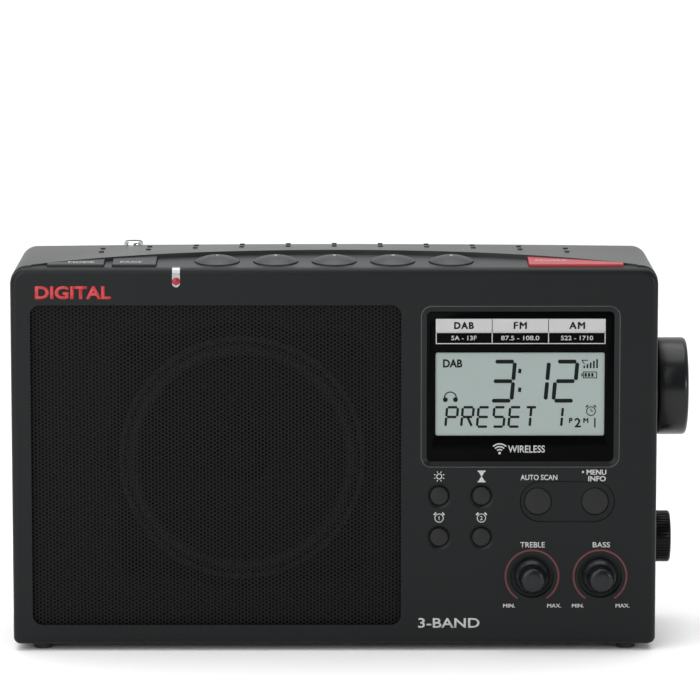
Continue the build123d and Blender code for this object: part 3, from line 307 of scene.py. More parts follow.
rubber, rubber_grain = mottled("rubber", (0.009, 0.009, 0.01), (0.02, 0.02, 0.021), 0.8, 2600.0)
rubber.relief(rubber_grain, 0.00003)
surround_rubber = Finish("surround_rubber", (0.026, 0.027, 0.028), 0.6, Specular_IOR_Level=0.25)
surround_rubber.set("Roughness", 0.5 + surround_rubber.noise(700.0) * 0.2)

basket_paint, _ = mottled("basket_paint", (0.005, 0.005, 0.0055), (0.009, 0.009, 0.01), 0.6, 1200.0,
                          Specular_IOR_Level=0.15)
pulp, pulp_fibre = mottled("cone_pulp", (0.006, 0.006, 0.0065), (0.016, 0.016, 0.017), 0.75, 1500.0, 5.0,
                           Specular_IOR_Level=0.2)
pulp.relief(pulp_fibre, 0.00008)
ferrite, _ = mottled("ferrite", (0.016, 0.016, 0.018), (0.06, 0.06, 0.065), 0.6, 1200.0, 3.0)
red_lens, _ = mottled("red_lens", (0.22, 0.008, 0.014), (0.32, 0.014, 0.022), 0.2, 900.0, 1.0,
                      Specular_IOR_Level=0.3)

board = Finish("circuit_board", (0.02, 0.12, 0.05), 0.35)
board.set("Base Color", board.blend(board.noise(90.0, 1.0) > 0.52, (0.012, 0.09, 0.035), (0.03, 0.16, 0.06)))

ROW_SPLIT = 0.040  # height between the two rows of cells
ROW_END = 0.070
CELL_LENGTH = 0.05
BAND_START = 0.74  # where the copper band begins, as a share of a cell
cell_sleeve = Finish("cell_sleeve", (0.03, 0.06, 0.16), 0.3, Metallic=0.6)
upper_row = cell_sleeve.axis("Z") > ROW_SPLIT
along = cell_sleeve.axis("X") * (1 - upper_row * 2) + ROW_END
in_band = (along * (1 / CELL_LENGTH)).fraction() > BAND_START
cell_sleeve.set("Base Color", cell_sleeve.blend(in_band, (0.02, 0.035, 0.09), (0.55, 0.3, 0.12)))
cell_sleeve.set("Roughness", 0.25 + cell_sleeve.noise(40.0) * 0.2)

chrome.cover(*[nodes[name] for name in ("antenna_base", "antenna_knuckle")],
             *[nodes[f"antenna_section_{i}"] for i in range(1, 6)])
bezel_metal.cover(nodes["indicator_bezel"])
basket_paint.cover(nodes["speaker_basket"], nodes["speaker_screws"])
steel.cover(*[nodes[name] for name in ("case_screws", "battery_contacts",
                                       "treble_shaft", "bass_shaft", "tuning_shaft", "volume_shaft")])
rubber.cover(nodes["feet"], nodes["grip_studs"])
surround_rubber.cover(nodes["speaker_surround"])
pulp.cover(nodes["speaker_cone"])
ferrite.cover(nodes["speaker_magnet"], nodes["ferrite_aerial"])
board.cover(nodes["front_board"], nodes["key_board"], nodes["main_board"])
cell_sleeve.cover(nodes["battery_cells"])
print("there are now", len(bpy.data.materials), "materials")

# %% [markdown]
# ## Modelling by hand, in code
# Each piece starts as a primitive that is selected and then shaped in edit mode. `start` adds it as the
# only selected object, and `choose` picks the points, edges or faces to work on.


# %% Starting and selecting
def start(kind, **settings):
    """Adds a primitive as the only selected object."""
    bpy.ops.object.select_all(action="DESELECT")
    getattr(bpy.ops.mesh, f"primitive_{kind}_add")(**settings)
    piece = bpy.context.object
    bpy.ops.object.transform_apply(location=True, rotation=True, scale=True)
    return piece


def choose(piece, kind, test):
    """Selects the points, edges or faces whose corner points pass a test, and goes to edit mode."""
    bpy.ops.object.mode_set(mode="EDIT")
    bpy.ops.mesh.select_mode(type=kind)
    bpy.ops.mesh.select_all(action="DESELECT")
    bpy.ops.object.mode_set(mode="OBJECT")
    mesh = piece.data
    if kind == "VERT":
        for point in mesh.vertices:
            point.select = test([point.co])
    else:
        for item in mesh.polygons if kind == "FACE" else mesh.edges:
            item.select = test([mesh.vertices[i].co for i in item.vertices])
    bpy.ops.object.mode_set(mode="EDIT")


def done():
    """Leaves edit mode."""
    bpy.ops.object.mode_set(mode="OBJECT")


FRONT_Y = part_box("front_panel")[0].y
print("front panel at", round(FRONT_Y / MM, 2), "mm")

# %% [markdown]
# ## Shaping, copying and delivering
# Modifiers are applied as soon as they are added. A finished piece is told which body it rides on, what
# it is made of, and which plain pieces of the frame it stands in for. Flat things are drawn lying down,
# with X to the right and Y up the page, and then stood up on the panel.


# %% Shaping and delivering
def modify(piece, kind, **settings):
    """Adds a modifier and applies it."""
    bpy.context.view_layer.objects.active = piece
    modifier = piece.modifiers.new(kind.lower(), kind)
    for key, value in settings.items():
        setattr(modifier, key, value)
    bpy.ops.object.modifier_apply(modifier=modifier.name)


def join(pieces, name):
    """Makes one object of several and names it."""
    bpy.ops.object.select_all(action="DESELECT")
    for piece in pieces:
        piece.select_set(True)
    bpy.context.view_layer.objects.active = pieces[0]
    if len(pieces) > 1:
        bpy.ops.object.join()
    joined = bpy.context.object
    joined.name = name
    return joined


def another(piece, matrix):
    """A copy with its own mesh, moved by a matrix."""
    copy = piece.copy()
    copy.data = piece.data.copy()
    copy.data.transform(matrix)
    bpy.context.scene.collection.objects.link(copy)
    return copy


def deliver(piece, name, finish, body, slot, *stands_for):
    """Names a finished piece and says what it is made of and what it moves with. The slot is not used."""
    piece.name = name
    piece.data.name = name
    finish.cover(piece)
    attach(piece, body)
    if stands_for:
        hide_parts(*stands_for)
    print(name, len(piece.data.polygons), "faces")


def on_front(y):
    """Stands a flat drawing up: its X along X, its Y up, its front towards the viewer, at depth y."""
    return Matrix.Translation((0, y, 0)) @ Matrix.Rotation(math.radians(90), 4, "X")


def smooth(piece, degrees=35):
    """Shades a piece smooth, but keeps the edges that turn by more than an angle."""
    bpy.ops.object.select_all(action="DESELECT")
    piece.select_set(True)
    bpy.context.view_layer.objects.active = piece
    bpy.ops.object.shade_smooth_by_angle(angle=math.radians(degrees))


print("up from the page becomes", tuple(round(c) for c in on_front(0).to_3x3() @ Vector((0, 0, 1))))

# %% [markdown]
# ## The grille
# The grille is a steel sheet punched with hexagonal holes, 1.8 mm apart in upright staggered columns. One
# cell is a hexagon, inset by half a bar and opened. Three Array modifiers lay it out, and Solidify gives
# the sheet its thickness. Two halves keep each mesh light.

# %% Grille
HOLE_PITCH = 1.8 * MM
COLUMN_PITCH = HOLE_PITCH * math.sqrt(3) / 2
BAR_WIDTH = 0.62 * MM
SHEET = 0.5 * MM
PAIRS = 27
ROWS = 83
LIP_BACK = FRONT_Y + 1.85 * MM

grille_paint, grille_grain = mottled("grille_paint", (0.003, 0.003, 0.0033), (0.006, 0.006, 0.0064), 0.45,
                                     1800.0, Specular_IOR_Level=0.11)
grille_paint.set("Roughness", 0.38 + grille_grain * 0.2)

cell = start("circle", vertices=6, radius=HOLE_PITCH / math.sqrt(3), fill_type="NGON",
             rotation=(0, 0, math.radians(30)))
choose(cell, "FACE", lambda corners: True)
bpy.ops.mesh.inset(thickness=BAR_WIDTH / 2)
bpy.ops.mesh.delete(type="ONLY_FACE")
done()
for count, step in ((2, (COLUMN_PITCH, HOLE_PITCH / 2, 0)), (PAIRS, (2 * COLUMN_PITCH, 0, 0)),
                    (ROWS, (0, HOLE_PITCH, 0))):
    modify(cell, "ARRAY", count=count, use_relative_offset=False, use_constant_offset=True,
           constant_offset_displace=step)
bpy.ops.object.mode_set(mode="EDIT")
bpy.ops.mesh.select_all(action="SELECT")
bpy.ops.mesh.remove_doubles(threshold=0.02 * MM)
done()
modify(cell, "SOLIDIFY", thickness=SHEET, offset=-1)

grille_low, grille_high = [Vector(corner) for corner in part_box("speaker_grille")]
grille_middle = (grille_low + grille_high) / 2
half_width = (2 * PAIRS) * COLUMN_PITCH
for side, shift in (("left", -half_width), ("right", 0)):
    corner = Matrix.Translation((grille_middle.x + shift + COLUMN_PITCH / 2,
                                 0, grille_middle.z - (ROWS - 0.5) * HOLE_PITCH / 2))
    sheet = another(cell, corner @ on_front(LIP_BACK))
    deliver(sheet, f"grille_sheet_{side}", grille_paint, "case", "grille_metal",
            *(["speaker_grille"] if side == "left" else []))
bpy.data.objects.remove(cell)

# %% [markdown]
# ## Inks
# Lettering and scales are screen printed, in a film of ink a few hundredths of a millimetre thick. Each
# mark is a thin solid, lying flat until it is stood up on the panel.

# %% Inks
INK = 0.04 * MM
white_ink, _ = mottled("white_ink", (0.34, 0.34, 0.335), (0.42, 0.42, 0.415), 0.5, 900.0)
red_ink, _ = mottled("red_ink", (0.34, 0.012, 0.017), (0.44, 0.022, 0.027), 0.45, 900.0)
scale_ink, _ = mottled("scale_ink", (0.07, 0.007, 0.01), (0.1, 0.01, 0.013), 0.45, 900.0)
black_ink = Finish("black_ink", (0.004, 0.004, 0.0045), 0.4, Specular_IOR_Level=0.1)
black_ink.set("Roughness", 0.25 + black_ink.noise(500.0) * 0.15)
print("inks:", [item.name for item in bpy.data.materials if item.name.endswith("ink")])

# %% [markdown]
# ## Drawing marks
# Letters come from a text object, which is turned into a mesh, set to its size and given a thickness.
# Lines are thin blocks, dots are flat cylinders, and an arc is a short bar that is spun round its centre.


# %% Marks
def letters(words, x, z, height, width=None, bold=0.0, spacing=1.0):
    """Capitals of a given height in mm, centred on x, z, and set to a width if one is given. Bold swells the
    strokes. The sharp corners of an M tear when they swell, so words with an M are printed twice."""
    bpy.ops.object.select_all(action="DESELECT")
    bpy.ops.object.text_add()
    mark = bpy.context.object
    mark.data.body = words
    mark.data.size = 1
    mark.data.offset = 0 if "M" in words else bold
    mark.data.space_character = spacing
    mark.data.resolution_u = 4
    bpy.ops.object.convert(target="MESH")
    low = [min(v.co[i] for v in mark.data.vertices) for i in (0, 1)]
    high = [max(v.co[i] for v in mark.data.vertices) for i in (0, 1)]
    tall = height * MM / (high[1] - low[1])
    wide = width * MM / (high[0] - low[0]) if width else tall
    middle = Matrix.Translation((-(low[0] + high[0]) / 2, -(low[1] + high[1]) / 2, 0))
    place = Matrix.Translation((x * MM, z * MM, 0))
    mark.data.transform(place @ Matrix.Diagonal((wide, tall, 1, 1)) @ middle)
    modify(mark, "SOLIDIFY", thickness=INK, offset=1)
    if bold and "M" in words:
        shift = 2.5 * bold * height * MM
        mark.data.transform(Matrix.Translation((-shift / 2, -shift / 4, 0)))
        mark = join([mark, another(mark, Matrix.Translation((shift, shift / 2, INK / 4)))], words)
    return mark


def stroke(x1, z1, x2, z2, width):
    """A straight printed line between two points, in mm."""
    length = math.hypot(x2 - x1, z2 - z1)
    return start("cube", size=1, location=((x1 + x2) / 2 * MM, (z1 + z2) / 2 * MM, INK / 2),
                 rotation=(0, 0, math.atan2(z2 - z1, x2 - x1)), scale=(length * MM, width * MM, INK))


def dot(x, z, radius):
    """A printed disc, in mm."""
    return start("cylinder", vertices=24, radius=radius * MM, depth=INK,
                 location=(x * MM, z * MM, INK / 2))


def arc(x, z, radius, width, first=0, last=360):
    """A printed ring or part of one: a short bar spun round its centre, angles in degrees from the right."""
    whole = last - first >= 360
    turn = math.radians(last - first)
    bar = start("cube", size=1, location=(radius * MM, 0, INK / 2), scale=(width * MM, 0.002 * MM, INK))
    choose(bar, "FACE", lambda corners: all(c.y > 0 for c in corners))
    bpy.ops.mesh.select_all(action="INVERT")
    bpy.ops.mesh.delete(type="FACE")
    bpy.ops.mesh.select_all(action="SELECT")
    bpy.ops.mesh.spin(steps=max(8, int(turn * 10)), angle=turn, center=(0, 0, 0), axis=(0, 0, -1),
                      use_auto_merge=whole)
    if whole:
        bpy.ops.mesh.select_all(action="SELECT")
        bpy.ops.mesh.remove_doubles(threshold=0.005 * MM)
    bpy.ops.mesh.select_all(action="SELECT")
    bpy.ops.mesh.normals_make_consistent(inside=False)
    done()
    bar.data.transform(Matrix.Translation((x * MM, z * MM, 0)) @ Matrix.Rotation(math.radians(first), 4, "Z"))
    return bar


def printed(name, marks, ink, place, body="case"):
    """Joins marks into one sheet of ink, puts it in its place and delivers it."""
    sheet = join(marks, name)
    sheet.data.transform(place)
    deliver(sheet, name, ink, body, None)


print("ink is", INK / MM, "mm thick")

# %% [markdown]
# ## The display window
# The window is a clear plate, printed black from behind, with a clear field over the liquid crystal. As
# the black is what shows, the window is a black slab with its upright edges bevelled and the clear field
# cut out by a Boolean, and the glass of the liquid crystal lies a little deeper.

# %% Display window and glass
WINDOW_BACK = -41.5 * MM
GLASS_FRONT = -42.3 * MM  # where the ink of the figures lies
FIELD = (84.1, 118.35)  # the middle of the clear field, in mm
FIELD_SIZE = (76.6, 38.1)
GLASS_SIZE = (79.0, 41.0)  # its edges hide behind the border

gloss_black = Finish("gloss_black", (0.0015, 0.0016, 0.0018), 0.12, Specular_IOR_Level=0.02)
gloss_black.set("Roughness", 0.1 + gloss_black.noise(60.0) * 0.06)
glass_grey, _ = mottled("lcd_glass", (0.224, 0.266, 0.254), (0.24, 0.284, 0.272), 0.22, 30.0,
                        Specular_IOR_Level=0.3)
lcd_ink = Finish("lcd_ink", (0.004, 0.005, 0.0055), 0.5, Specular_IOR_Level=0.1)
lcd_ink.set("Roughness", 0.45 + lcd_ink.noise(400.0) * 0.1)


def plate(x, z, width, height, thick, corner):
    """A lying slab centred on x, z, all in mm, with its upright edges rounded."""
    slab = start("cube", size=1, location=(x * MM, z * MM, thick / 2 * MM),
                 scale=(width * MM, height * MM, thick * MM))
    choose(slab, "EDGE", lambda ends: abs(ends[0].z - ends[1].z) > 0.1 * MM)
    bpy.ops.mesh.bevel(offset=corner * MM, segments=6)
    done()
    return slab


window_low, window_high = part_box("display_window")
window_middle = (window_low + window_high) / (2 * MM)
window_size = (window_high - window_low) / MM
window = plate(window_middle.x, window_middle.z, window_size.x, window_size.z, window_size.y, 2.2)
opening = plate(*FIELD, *FIELD_SIZE, 3.0, 0.9)
opening.data.transform(Matrix.Translation((0, 0, -0.7 * MM)))
modify(window, "BOOLEAN", object=opening, operation="DIFFERENCE", solver="EXACT")
bpy.data.objects.remove(opening)
modify(window, "BEVEL", width=0.15 * MM, segments=2, limit_method="ANGLE")
window.data.transform(on_front(WINDOW_BACK))
smooth(window)
deliver(window, "display_border", gloss_black, "case", "window", "display_window")

glass = plate(*FIELD, *GLASS_SIZE, 0.75, 0.5)
glass.data.transform(on_front(WINDOW_BACK))
deliver(glass, "lcd_front_glass", glass_grey, "case", "lcd")
glass_grey.cover(nodes["lcd_module"])

# %% [markdown]
# ## The lip round the window
# The moulding rolls over into the window's recess with a small bead, which draws a thin bright line round
# the display. The line comes partly from the bead catching the lamps and partly from painted highlight:
# the bead gets a lighter, glossier copy of the face's plastic. It is a slab with a smaller slab cut out
# of it, and its edges are rounded by a Bevel.

# %% Lip round the window
# Painted highlight: the bead is part of the face moulding, but its plastic is made lighter and glossier so
# that it shows as a bright line.
lip_painted_highlight_plastic = moulded("lip_painted_highlight_plastic", (0.02, 0.022, 0.024), 0.26, 0.0004, 0.00001, 0.004)
LIP_OUTSIDE = 5.5  # how much larger than the window, in mm
LIP_INSIDE = 4.4
lip, inner = [plate(window_middle.x, window_middle.z, window_size.x + more, window_size.z + more, *rest)
              for more, *rest in ((LIP_OUTSIDE, 0.5, 4.9), (LIP_INSIDE, 3.0, 4.4))]
inner.data.transform(Matrix.Translation((0, 0, -1 * MM)))
modify(lip, "BOOLEAN", object=inner, operation="DIFFERENCE", solver="EXACT")
bpy.data.objects.remove(inner)
modify(lip, "BEVEL", width=0.22 * MM, segments=3, limit_method="ANGLE")
lip.data.transform(on_front(FRONT_Y + 0.35 * MM))
smooth(lip, 50)
deliver(lip, "display_lip", lip_painted_highlight_plastic, "case", "front_plastic")

# %% [markdown]
# ## Segments
# A liquid crystal draws its figures with bars that have pointed ends. A bar is a flat hexagon whose right
# half is pulled away from its left half. One table says which bars light for each sign, the other where
# each bar runs in a cell that is one wide and one high.

# %% Segments of the display
BARS = {
    "top": ((0, 1), (1, 1)), "middle": ((0, 0.5), (1, 0.5)), "bottom": ((0, 0), (1, 0)),
    "upper right": ((1, 1), (1, 0.5)), "lower right": ((1, 0.5), (1, 0)),
    "upper left": ((0, 0.5), (0, 1)), "lower left": ((0, 0), (0, 0.5)),
    "upper stem": ((0.5, 0.5), (0.5, 1)), "lower stem": ((0.5, 0), (0.5, 0.5)), "leg": ((0.5, 0.5), (1, 0)),
}
SIGNS = {
    "1": ("upper right", "lower right"),
    "2": ("top", "upper right", "middle", "lower left", "bottom"),
    "3": ("top", "upper right", "middle", "lower right", "bottom"),
    "P": ("top", "upper right", "middle", "upper left", "lower left"),
    "R": ("top", "upper right", "middle", "upper left", "lower left", "leg"),
    "E": ("top", "middle", "bottom", "upper left", "lower left"),
    "S": ("top", "upper left", "middle", "lower right", "bottom"),
    "T": ("top", "upper stem", "lower stem"),
    "I": ("upper stem", "lower stem"),
    " ": (),
}
LEAN = 0.085
SEGMENT_GAP = 0.22  # between a bar and the corner it points at, in bar widths


def bar(x1, z1, x2, z2, width):
    """A bar with pointed ends between two points, in mm."""
    length = math.hypot(x2 - x1, z2 - z1)
    point = width / math.sqrt(3)
    piece = start("cylinder", vertices=6, radius=point * MM, depth=INK, location=(0, 0, INK / 2),
                  rotation=(0, 0, math.radians(30)))
    choose(piece, "VERT", lambda ends: ends[0].x > 0)
    bpy.ops.transform.translate(value=((length - 2 * point) * MM, 0, 0))
    done()
    turn = Matrix.Rotation(math.atan2(z2 - z1, x2 - x1), 4, "Z")
    place = Matrix.Translation((x1 * MM, z1 * MM, 0))
    piece.data.transform(place @ turn @ Matrix.Translation((point * MM, 0, 0)))
    return piece


def sign(letter, x, z, width, height, thick):
    """One lit cell whose lower left corner is at x, z."""
    lit = []
    for name in SIGNS[letter]:
        ends = []
        for across, up in BARS[name]:
            ends.append(Vector((x + across * width + LEAN * up * height, z + up * height)))
        run = (ends[1] - ends[0]).normalized() * thick * SEGMENT_GAP
        lit.append(bar(*(ends[0] + run), *(ends[1] - run), thick))
    return lit


figures = []
for letter, x in (("3", 71.0), ("1", 86.4), ("2", 99.3)):
    figures += sign(letter, x, 115.3, 9.3, 17.9, 1.75)
figures += [stroke(83.9, z - 1.0, 84.1, z + 1.0, 1.4) for z in (120.3, 128.9)]
for place, letter in enumerate("PRESET I"):
    figures += sign(letter, 50.4 + 7.15 * place, 103.4, 4.9, 8.9, 1.1)
printed("lcd_figures", figures, lcd_ink, on_front(GLASS_FRONT))

# %% [markdown]
# ## Icons of the display
# Round the figures stand the band, the signal bars, a battery, headphones, an alarm clock and the number
# of the preset and its memory. They are drawn with the same lines, dots and arcs as the printing on the
# panel.


# %% Icons of the display
def outline(x, z, width, height, thick):
    """Four strokes round a rectangle centred on x, z."""
    a, b = width / 2, height / 2
    return [stroke(x - a, z + k * b, x + a, z + k * b, thick) for k in (-1, 1)] + [
        stroke(x + k * a, z - b - thick / 2, x + k * a, z + b + thick / 2, thick) for k in (-1, 1)]


icons = [letters("DAB", 53.6, 132.4, 3.7, 8.7, bold=0.03)]
# signal bars and their small aerial
icons += [stroke(113.2 + 1.45 * i, 130.2, 113.2 + 1.45 * i, 131.3 + 0.75 * i, 0.75) for i in range(5)]
icons += [stroke(112.0, 133.8, 114.9, 133.8, 0.4), stroke(112.1, 133.8, 113.3, 132.0, 0.35)]
# battery with three cells and a nub
icons += outline(115.8, 127.1, 6.0, 2.7, 0.35)
icons += [stroke(113.9 + 1.5 * i, 126.3, 113.9 + 1.5 * i, 127.9, 1.0) for i in range(3)]
icons += [stroke(112.2, 126.5, 112.2, 127.7, 0.5)]
# headphones
icons += [arc(52.6, 116.6, 2.7, 0.5, 0, 180), dot(50.3, 115.8, 1.1), dot(54.9, 115.8, 1.1)]
# alarm clock with two bells
icons += [arc(116.4, 110.5, 2.0, 0.4)]
icons += [stroke(116.4, 110.5, x, z, 0.35) for x, z in ((116.4, 111.7), (117.4, 110.5))]
icons += [stroke(116.4 + k * 2.3, 112.3, 116.4 + k * 1.3, 113.2, 0.6) for k in (-1, 1)]
# preset and memory
icons += [letters("P", 107.3, 106.2, 2.4, bold=0.04), letters("2", 110.4, 105.2, 4.3, 2.9, bold=0.02)]
icons += [letters("M", 114.1, 106.2, 2.2, bold=0.04), letters("1", 118.2, 105.2, 4.3)]
printed("lcd_icons", icons, lcd_ink, on_front(GLASS_FRONT))

# %% [markdown]
# ## The band table
# Above the glass, the border carries a printed table: a pale header with the names of the bands, and
# below it the range of each band in pale figures inside thin rules. Below the glass stand three waves and
# a word.

# %% Band table
WINDOW_FRONT = window_low.y
table_paint, _ = mottled("table_paint", (0.33, 0.33, 0.33), (0.37, 0.37, 0.37), 0.4, 200.0)
COLUMNS = (45.9, 71.4, 96.9, 122.7)
header = [stroke(COLUMNS[0], 149.8, COLUMNS[-1], 149.8, 6.1)]
rules = outline(84.3, 144.1, COLUMNS[-1] - COLUMNS[0] - 0.4, 5.1, 0.4)
rules += [stroke(x, 141.5, x, 146.8, 0.4) for x in COLUMNS[1:3]]
printed("band_table", header + rules, table_paint, on_front(WINDOW_FRONT))

bands = []
ranges = []
for x, band, reach, wide in ((58.65, "DAB", "5A - 13F", 11.5), (84.1, "FM", "87.5 - 108.0", 17.3),
                             (109.8, "AM", "522 - 1710", 14.6)):
    bands.append(letters(band, x, 149.8, 3.2, bold=0.045, spacing=1.2))
    ranges.append(letters(reach, x, 144.1, 2.1, wide, bold=0.015))
bands += [stroke(x, 146.9, x, 152.7, 0.3) for x in COLUMNS[1:3]]
printed("band_names", bands, black_ink, on_front(WINDOW_FRONT - INK))
ranges += [letters("WIRELESS", 87.2, 93.2, 3.4, 16.8, bold=0.02)]
ranges += [dot(75.0, 91.4, 0.6)]
ranges += [arc(75.0, 91.4, radius, 0.6, 45, 135) for radius in (1.6, 2.9, 4.2)]
printed("window_lettering", ranges, table_paint, on_front(WINDOW_FRONT))

# %% [markdown]
# ## Lettering of the front
# Names of the keys and knobs, small pictures over the four small keys, the red name at the upper left and
# the red scales round the tone knobs are all printed on the moulded face.

# %% Front lettering
LABEL_LIFT = 0.01 * MM
labels = [
    letters("3-BAND", 52.2, 13.0, 4.6, 28.0, bold=0.015),
    letters("AUTO SCAN", 92.9, 80.3, 2.5, 16.8, bold=0.02),
    letters("MENU", 119.0, 82.7, 2.3, 8.8, bold=0.03),
    letters("INFO", 119.3, 79.7, 2.5, 8.0, bold=0.03),
    dot(112.9, 82.8, 0.5),
    letters("TREBLE", 90.2, 49.2, 2.5, 11.2, bold=0.018),
    letters("BASS", 121.5, 49.2, 2.5, 7.9, bold=0.018),
]
for x in (79.6, 111.0):
    labels.append(letters("MIN.", x, 21.0, 1.7, 5.3, bold=0.03))
for x in (100.2, 131.4):
    labels.append(letters("MAX.", x, 21.0, 1.7, 6.3, bold=0.03))
# lamp: a ring with eight rays
labels.append(arc(47.6, 80.8, 1.15, 0.4))
for i in range(8):
    turn = math.radians(45 * i + 22.5)
    labels.append(stroke(47.6 + 1.75 * math.cos(turn), 80.8 + 1.75 * math.sin(turn),
                         47.6 + 2.5 * math.cos(turn), 80.8 + 2.5 * math.sin(turn), 0.35))
# hourglass: two caps and two triangles
labels += [stroke(65.1, z, 68.6, z, 0.6) for z in (78.4, 83.2)]
for k in (-1, 1):
    labels.append(start("cylinder", vertices=3, radius=1.5 * MM, depth=INK,
                        rotation=(0, 0, math.radians(90 + 90 * k)),
                        location=(66.85 * MM, (80.8 + 1.3 * k) * MM, INK / 2)))
# alarm clocks: a ring with two bells and its number
for x, number in ((47.6, "1"), (66.85, "2")):
    labels += [arc(x, 61.6, 1.9, 0.35), letters(number, x, 61.6, 1.9, bold=0.02)]
    labels += [stroke(x + k * 2.4, 63.0, x + k * 1.4, 64.1, 0.7) for k in (-1, 1)]
printed("front_lettering", labels, white_ink, on_front(FRONT_Y - LABEL_LIFT))
printed("red_name", [letters("DIGITAL", -118.0, 165.0, 6.0, 34.3, bold=0.035)], red_ink,
        on_front(FRONT_Y - LABEL_LIFT))

KNOBS = {"treble": (90.0, 34.6), "bass": (121.0, 34.6)}
SCALE_RADIUS = 12.1
scales = [arc(x, z, SCALE_RADIUS, 0.8, -57, 237) for x, z in KNOBS.values()]
printed("tone_scales", scales, scale_ink, on_front(FRONT_Y - LABEL_LIFT))

# %% [markdown]
# ## Turned pieces
# Knobs, rings and screw heads are round, so one helper builds them all: a circle is extruded upward again
# and again, and each new ring is resized, as one would do by hand. The knobs of the tone controls are the
# first.


# %% Turned pieces and tone knobs
def turned(profile, corners=64):
    """A round solid from (radius, height) pairs in mm, lowest first, standing on its axis."""
    radius, height = profile[0]
    piece = start("circle", vertices=corners, radius=radius * MM, fill_type="NGON",
                  location=(0, 0, height * MM))
    bpy.ops.object.mode_set(mode="EDIT")
    bpy.ops.mesh.select_all(action="SELECT")
    for wider, higher in profile[1:]:
        bpy.ops.mesh.extrude_region_move(TRANSFORM_OT_translate={"value": (0, 0, (higher - height) * MM)})
        bpy.ops.transform.resize(value=(wider / radius, wider / radius, 1), center_override=(0, 0, 0))
        radius, height = wider, higher
    bpy.ops.mesh.select_all(action="SELECT")
    bpy.ops.mesh.normals_make_consistent(inside=False)
    done()
    return piece


KNOB_BACK = -42.4 * MM
CAP = [(8.15, 0), (8.15, 1.7), (7.95, 2.3), (6.85, 3.6), (6.2, 4.1), (5.9, 4.8), (5.5, 10.6), (5.3, 11.4),
       (4.8, 12.1), (3.9, 12.45), (2.4, 12.58), (0.3, 12.6)]
for name, (x, z) in KNOBS.items():
    knob = turned(CAP)
    smooth(knob, 40)
    knob.data.transform(Matrix.Translation((x * MM, 0, z * MM)) @ on_front(KNOB_BACK))
    deliver(knob, f"{name}_cap", dial_plastic, f"{name}_control", "key_plastic", f"{name}_knob")

# %% [markdown]
# ## The power indicator
# A small red dome stands on the bright strip at the upper edge. It takes its place from the boxes of the
# frame.

# %% Power indicator
JEWEL = [(1.75, -0.6), (1.75, 0.1), (1.6, 0.4), (1.2, 0.65), (0.6, 0.78), (0.1, 0.8)]
bezel_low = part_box("indicator_bezel")[0]
lens_low, lens_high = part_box("indicator_lens")
jewel = turned(JEWEL, 32)
smooth(jewel, 60)
jewel.data.transform(Matrix.Translation(((lens_low.x + lens_high.x) / 2, 0, (lens_low.z + lens_high.z) / 2))
                     @ on_front(bezel_low.y))
deliver(jewel, "indicator_jewel", red_lens, "case", "red_lens", "indicator_lens")

# %% [markdown]
# ## Dials on the right side
# The tuning dial has a rolled rim and a dimple for a fingertip, cut by a Boolean. The volume dial is
# smaller, and ribs are pressed into every second face of its wall.


# %% Dials
def ribs(piece, radius, low, high, corners, depth):
    """Presses every second wall face of a turned piece inwards."""
    def pressed(ends):
        middle = sum(ends, Vector()) / len(ends) / MM
        turn = math.atan2(middle.y, middle.x) / math.tau * corners
        on_wall = math.hypot(middle.x, middle.y) > radius * 0.99 and low < middle.z < high
        return on_wall and math.floor(turn) % 2 == 0
    choose(piece, "FACE", pressed)
    bpy.ops.mesh.inset(thickness=0.06 * MM, depth=-depth * MM, use_individual=True)
    done()


RIGHT = Matrix.Rotation(math.radians(90), 4, "Y")
TUNING_HEIGHT = 115.8
VOLUME_HEIGHT = 45.2
DIAL = [(21.4, 0), (22.2, 0.4), (22.5, 1.2), (22.5, 11.6), (22.3, 12.6), (21.8, 13.3), (21.0, 13.7),
        (20.2, 13.8), (19.4, 13.6), (18.9, 13.1), (18.4, 12.9), (10, 12.75), (0.4, 12.7)]
DIMPLE = [(0.5, -3.2), (3.2, -2.6), (5.2, -1.2), (5.9, 0.6), (5.9, 4)]
tuning = turned(DIAL, 120)
dimple = turned(DIMPLE, 40)
dimple.data.transform(Matrix.Translation((0, 11.5 * MM, 14.0 * MM)))
modify(tuning, "BOOLEAN", object=dimple, operation="DIFFERENCE", solver="EXACT")
bpy.data.objects.remove(dimple)
smooth(tuning, 35)
tuning.data.transform(Matrix.Translation((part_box("tuning_knob")[0].x, 0, TUNING_HEIGHT * MM)) @ RIGHT)
deliver(tuning, "tuning_dial", dial_plastic, "tuning_control", "key_plastic", "tuning_knob")

WHEEL = [(11.3, 0), (11.9, 0.5), (11.9, 7.4), (11.6, 8.0), (11.0, 8.35), (10.4, 8.35), (10.0, 8.0),
         (9.6, 7.8), (0.4, 7.7)]
volume = turned(WHEEL, 96)
ribs(volume, 11.9, 0.6, 7.3, 96, 0.3)
volume.data.transform(Matrix.Translation((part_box("volume_knob")[0].x, 0, VOLUME_HEIGHT * MM)) @ RIGHT)
smooth(volume, 35)
deliver(volume, "volume_dial", wheel_plastic, "volume_control", "key_plastic", "volume_knob")

# %% [markdown]
# ## Screws
# Both kinds of screw have a rounded head with a cross recess, so that they can be driven. The recess is
# cut by a Boolean with a cross of two thin blocks. One screw of each kind is modelled and copied.


# %% Screws
def cross_screw(head_radius, head, shank_radius, shank):
    """A screw standing on its axis, its head from height 0 upwards and its shank below."""
    screw = turned([(shank_radius * 0.4, -shank), (shank_radius, -shank + 1.2), (shank_radius, 0),
                    (head_radius, 0), (head_radius, head * 0.35), (head_radius * 0.86, head * 0.75),
                    (head_radius * 0.5, head), (0.1, head)], 24)
    for turn in (0, 90):
        blade = start("cube", size=1, location=(0, 0, head * MM), rotation=(0, 0, math.radians(turn)),
                      scale=(head_radius * MM, 0.55 * MM, head * 1.1 * MM))
        modify(screw, "BOOLEAN", object=blade, operation="DIFFERENCE", solver="EXACT")
        bpy.data.objects.remove(blade)
        bpy.context.view_layer.objects.active = screw
    smooth(screw, 30)
    return screw


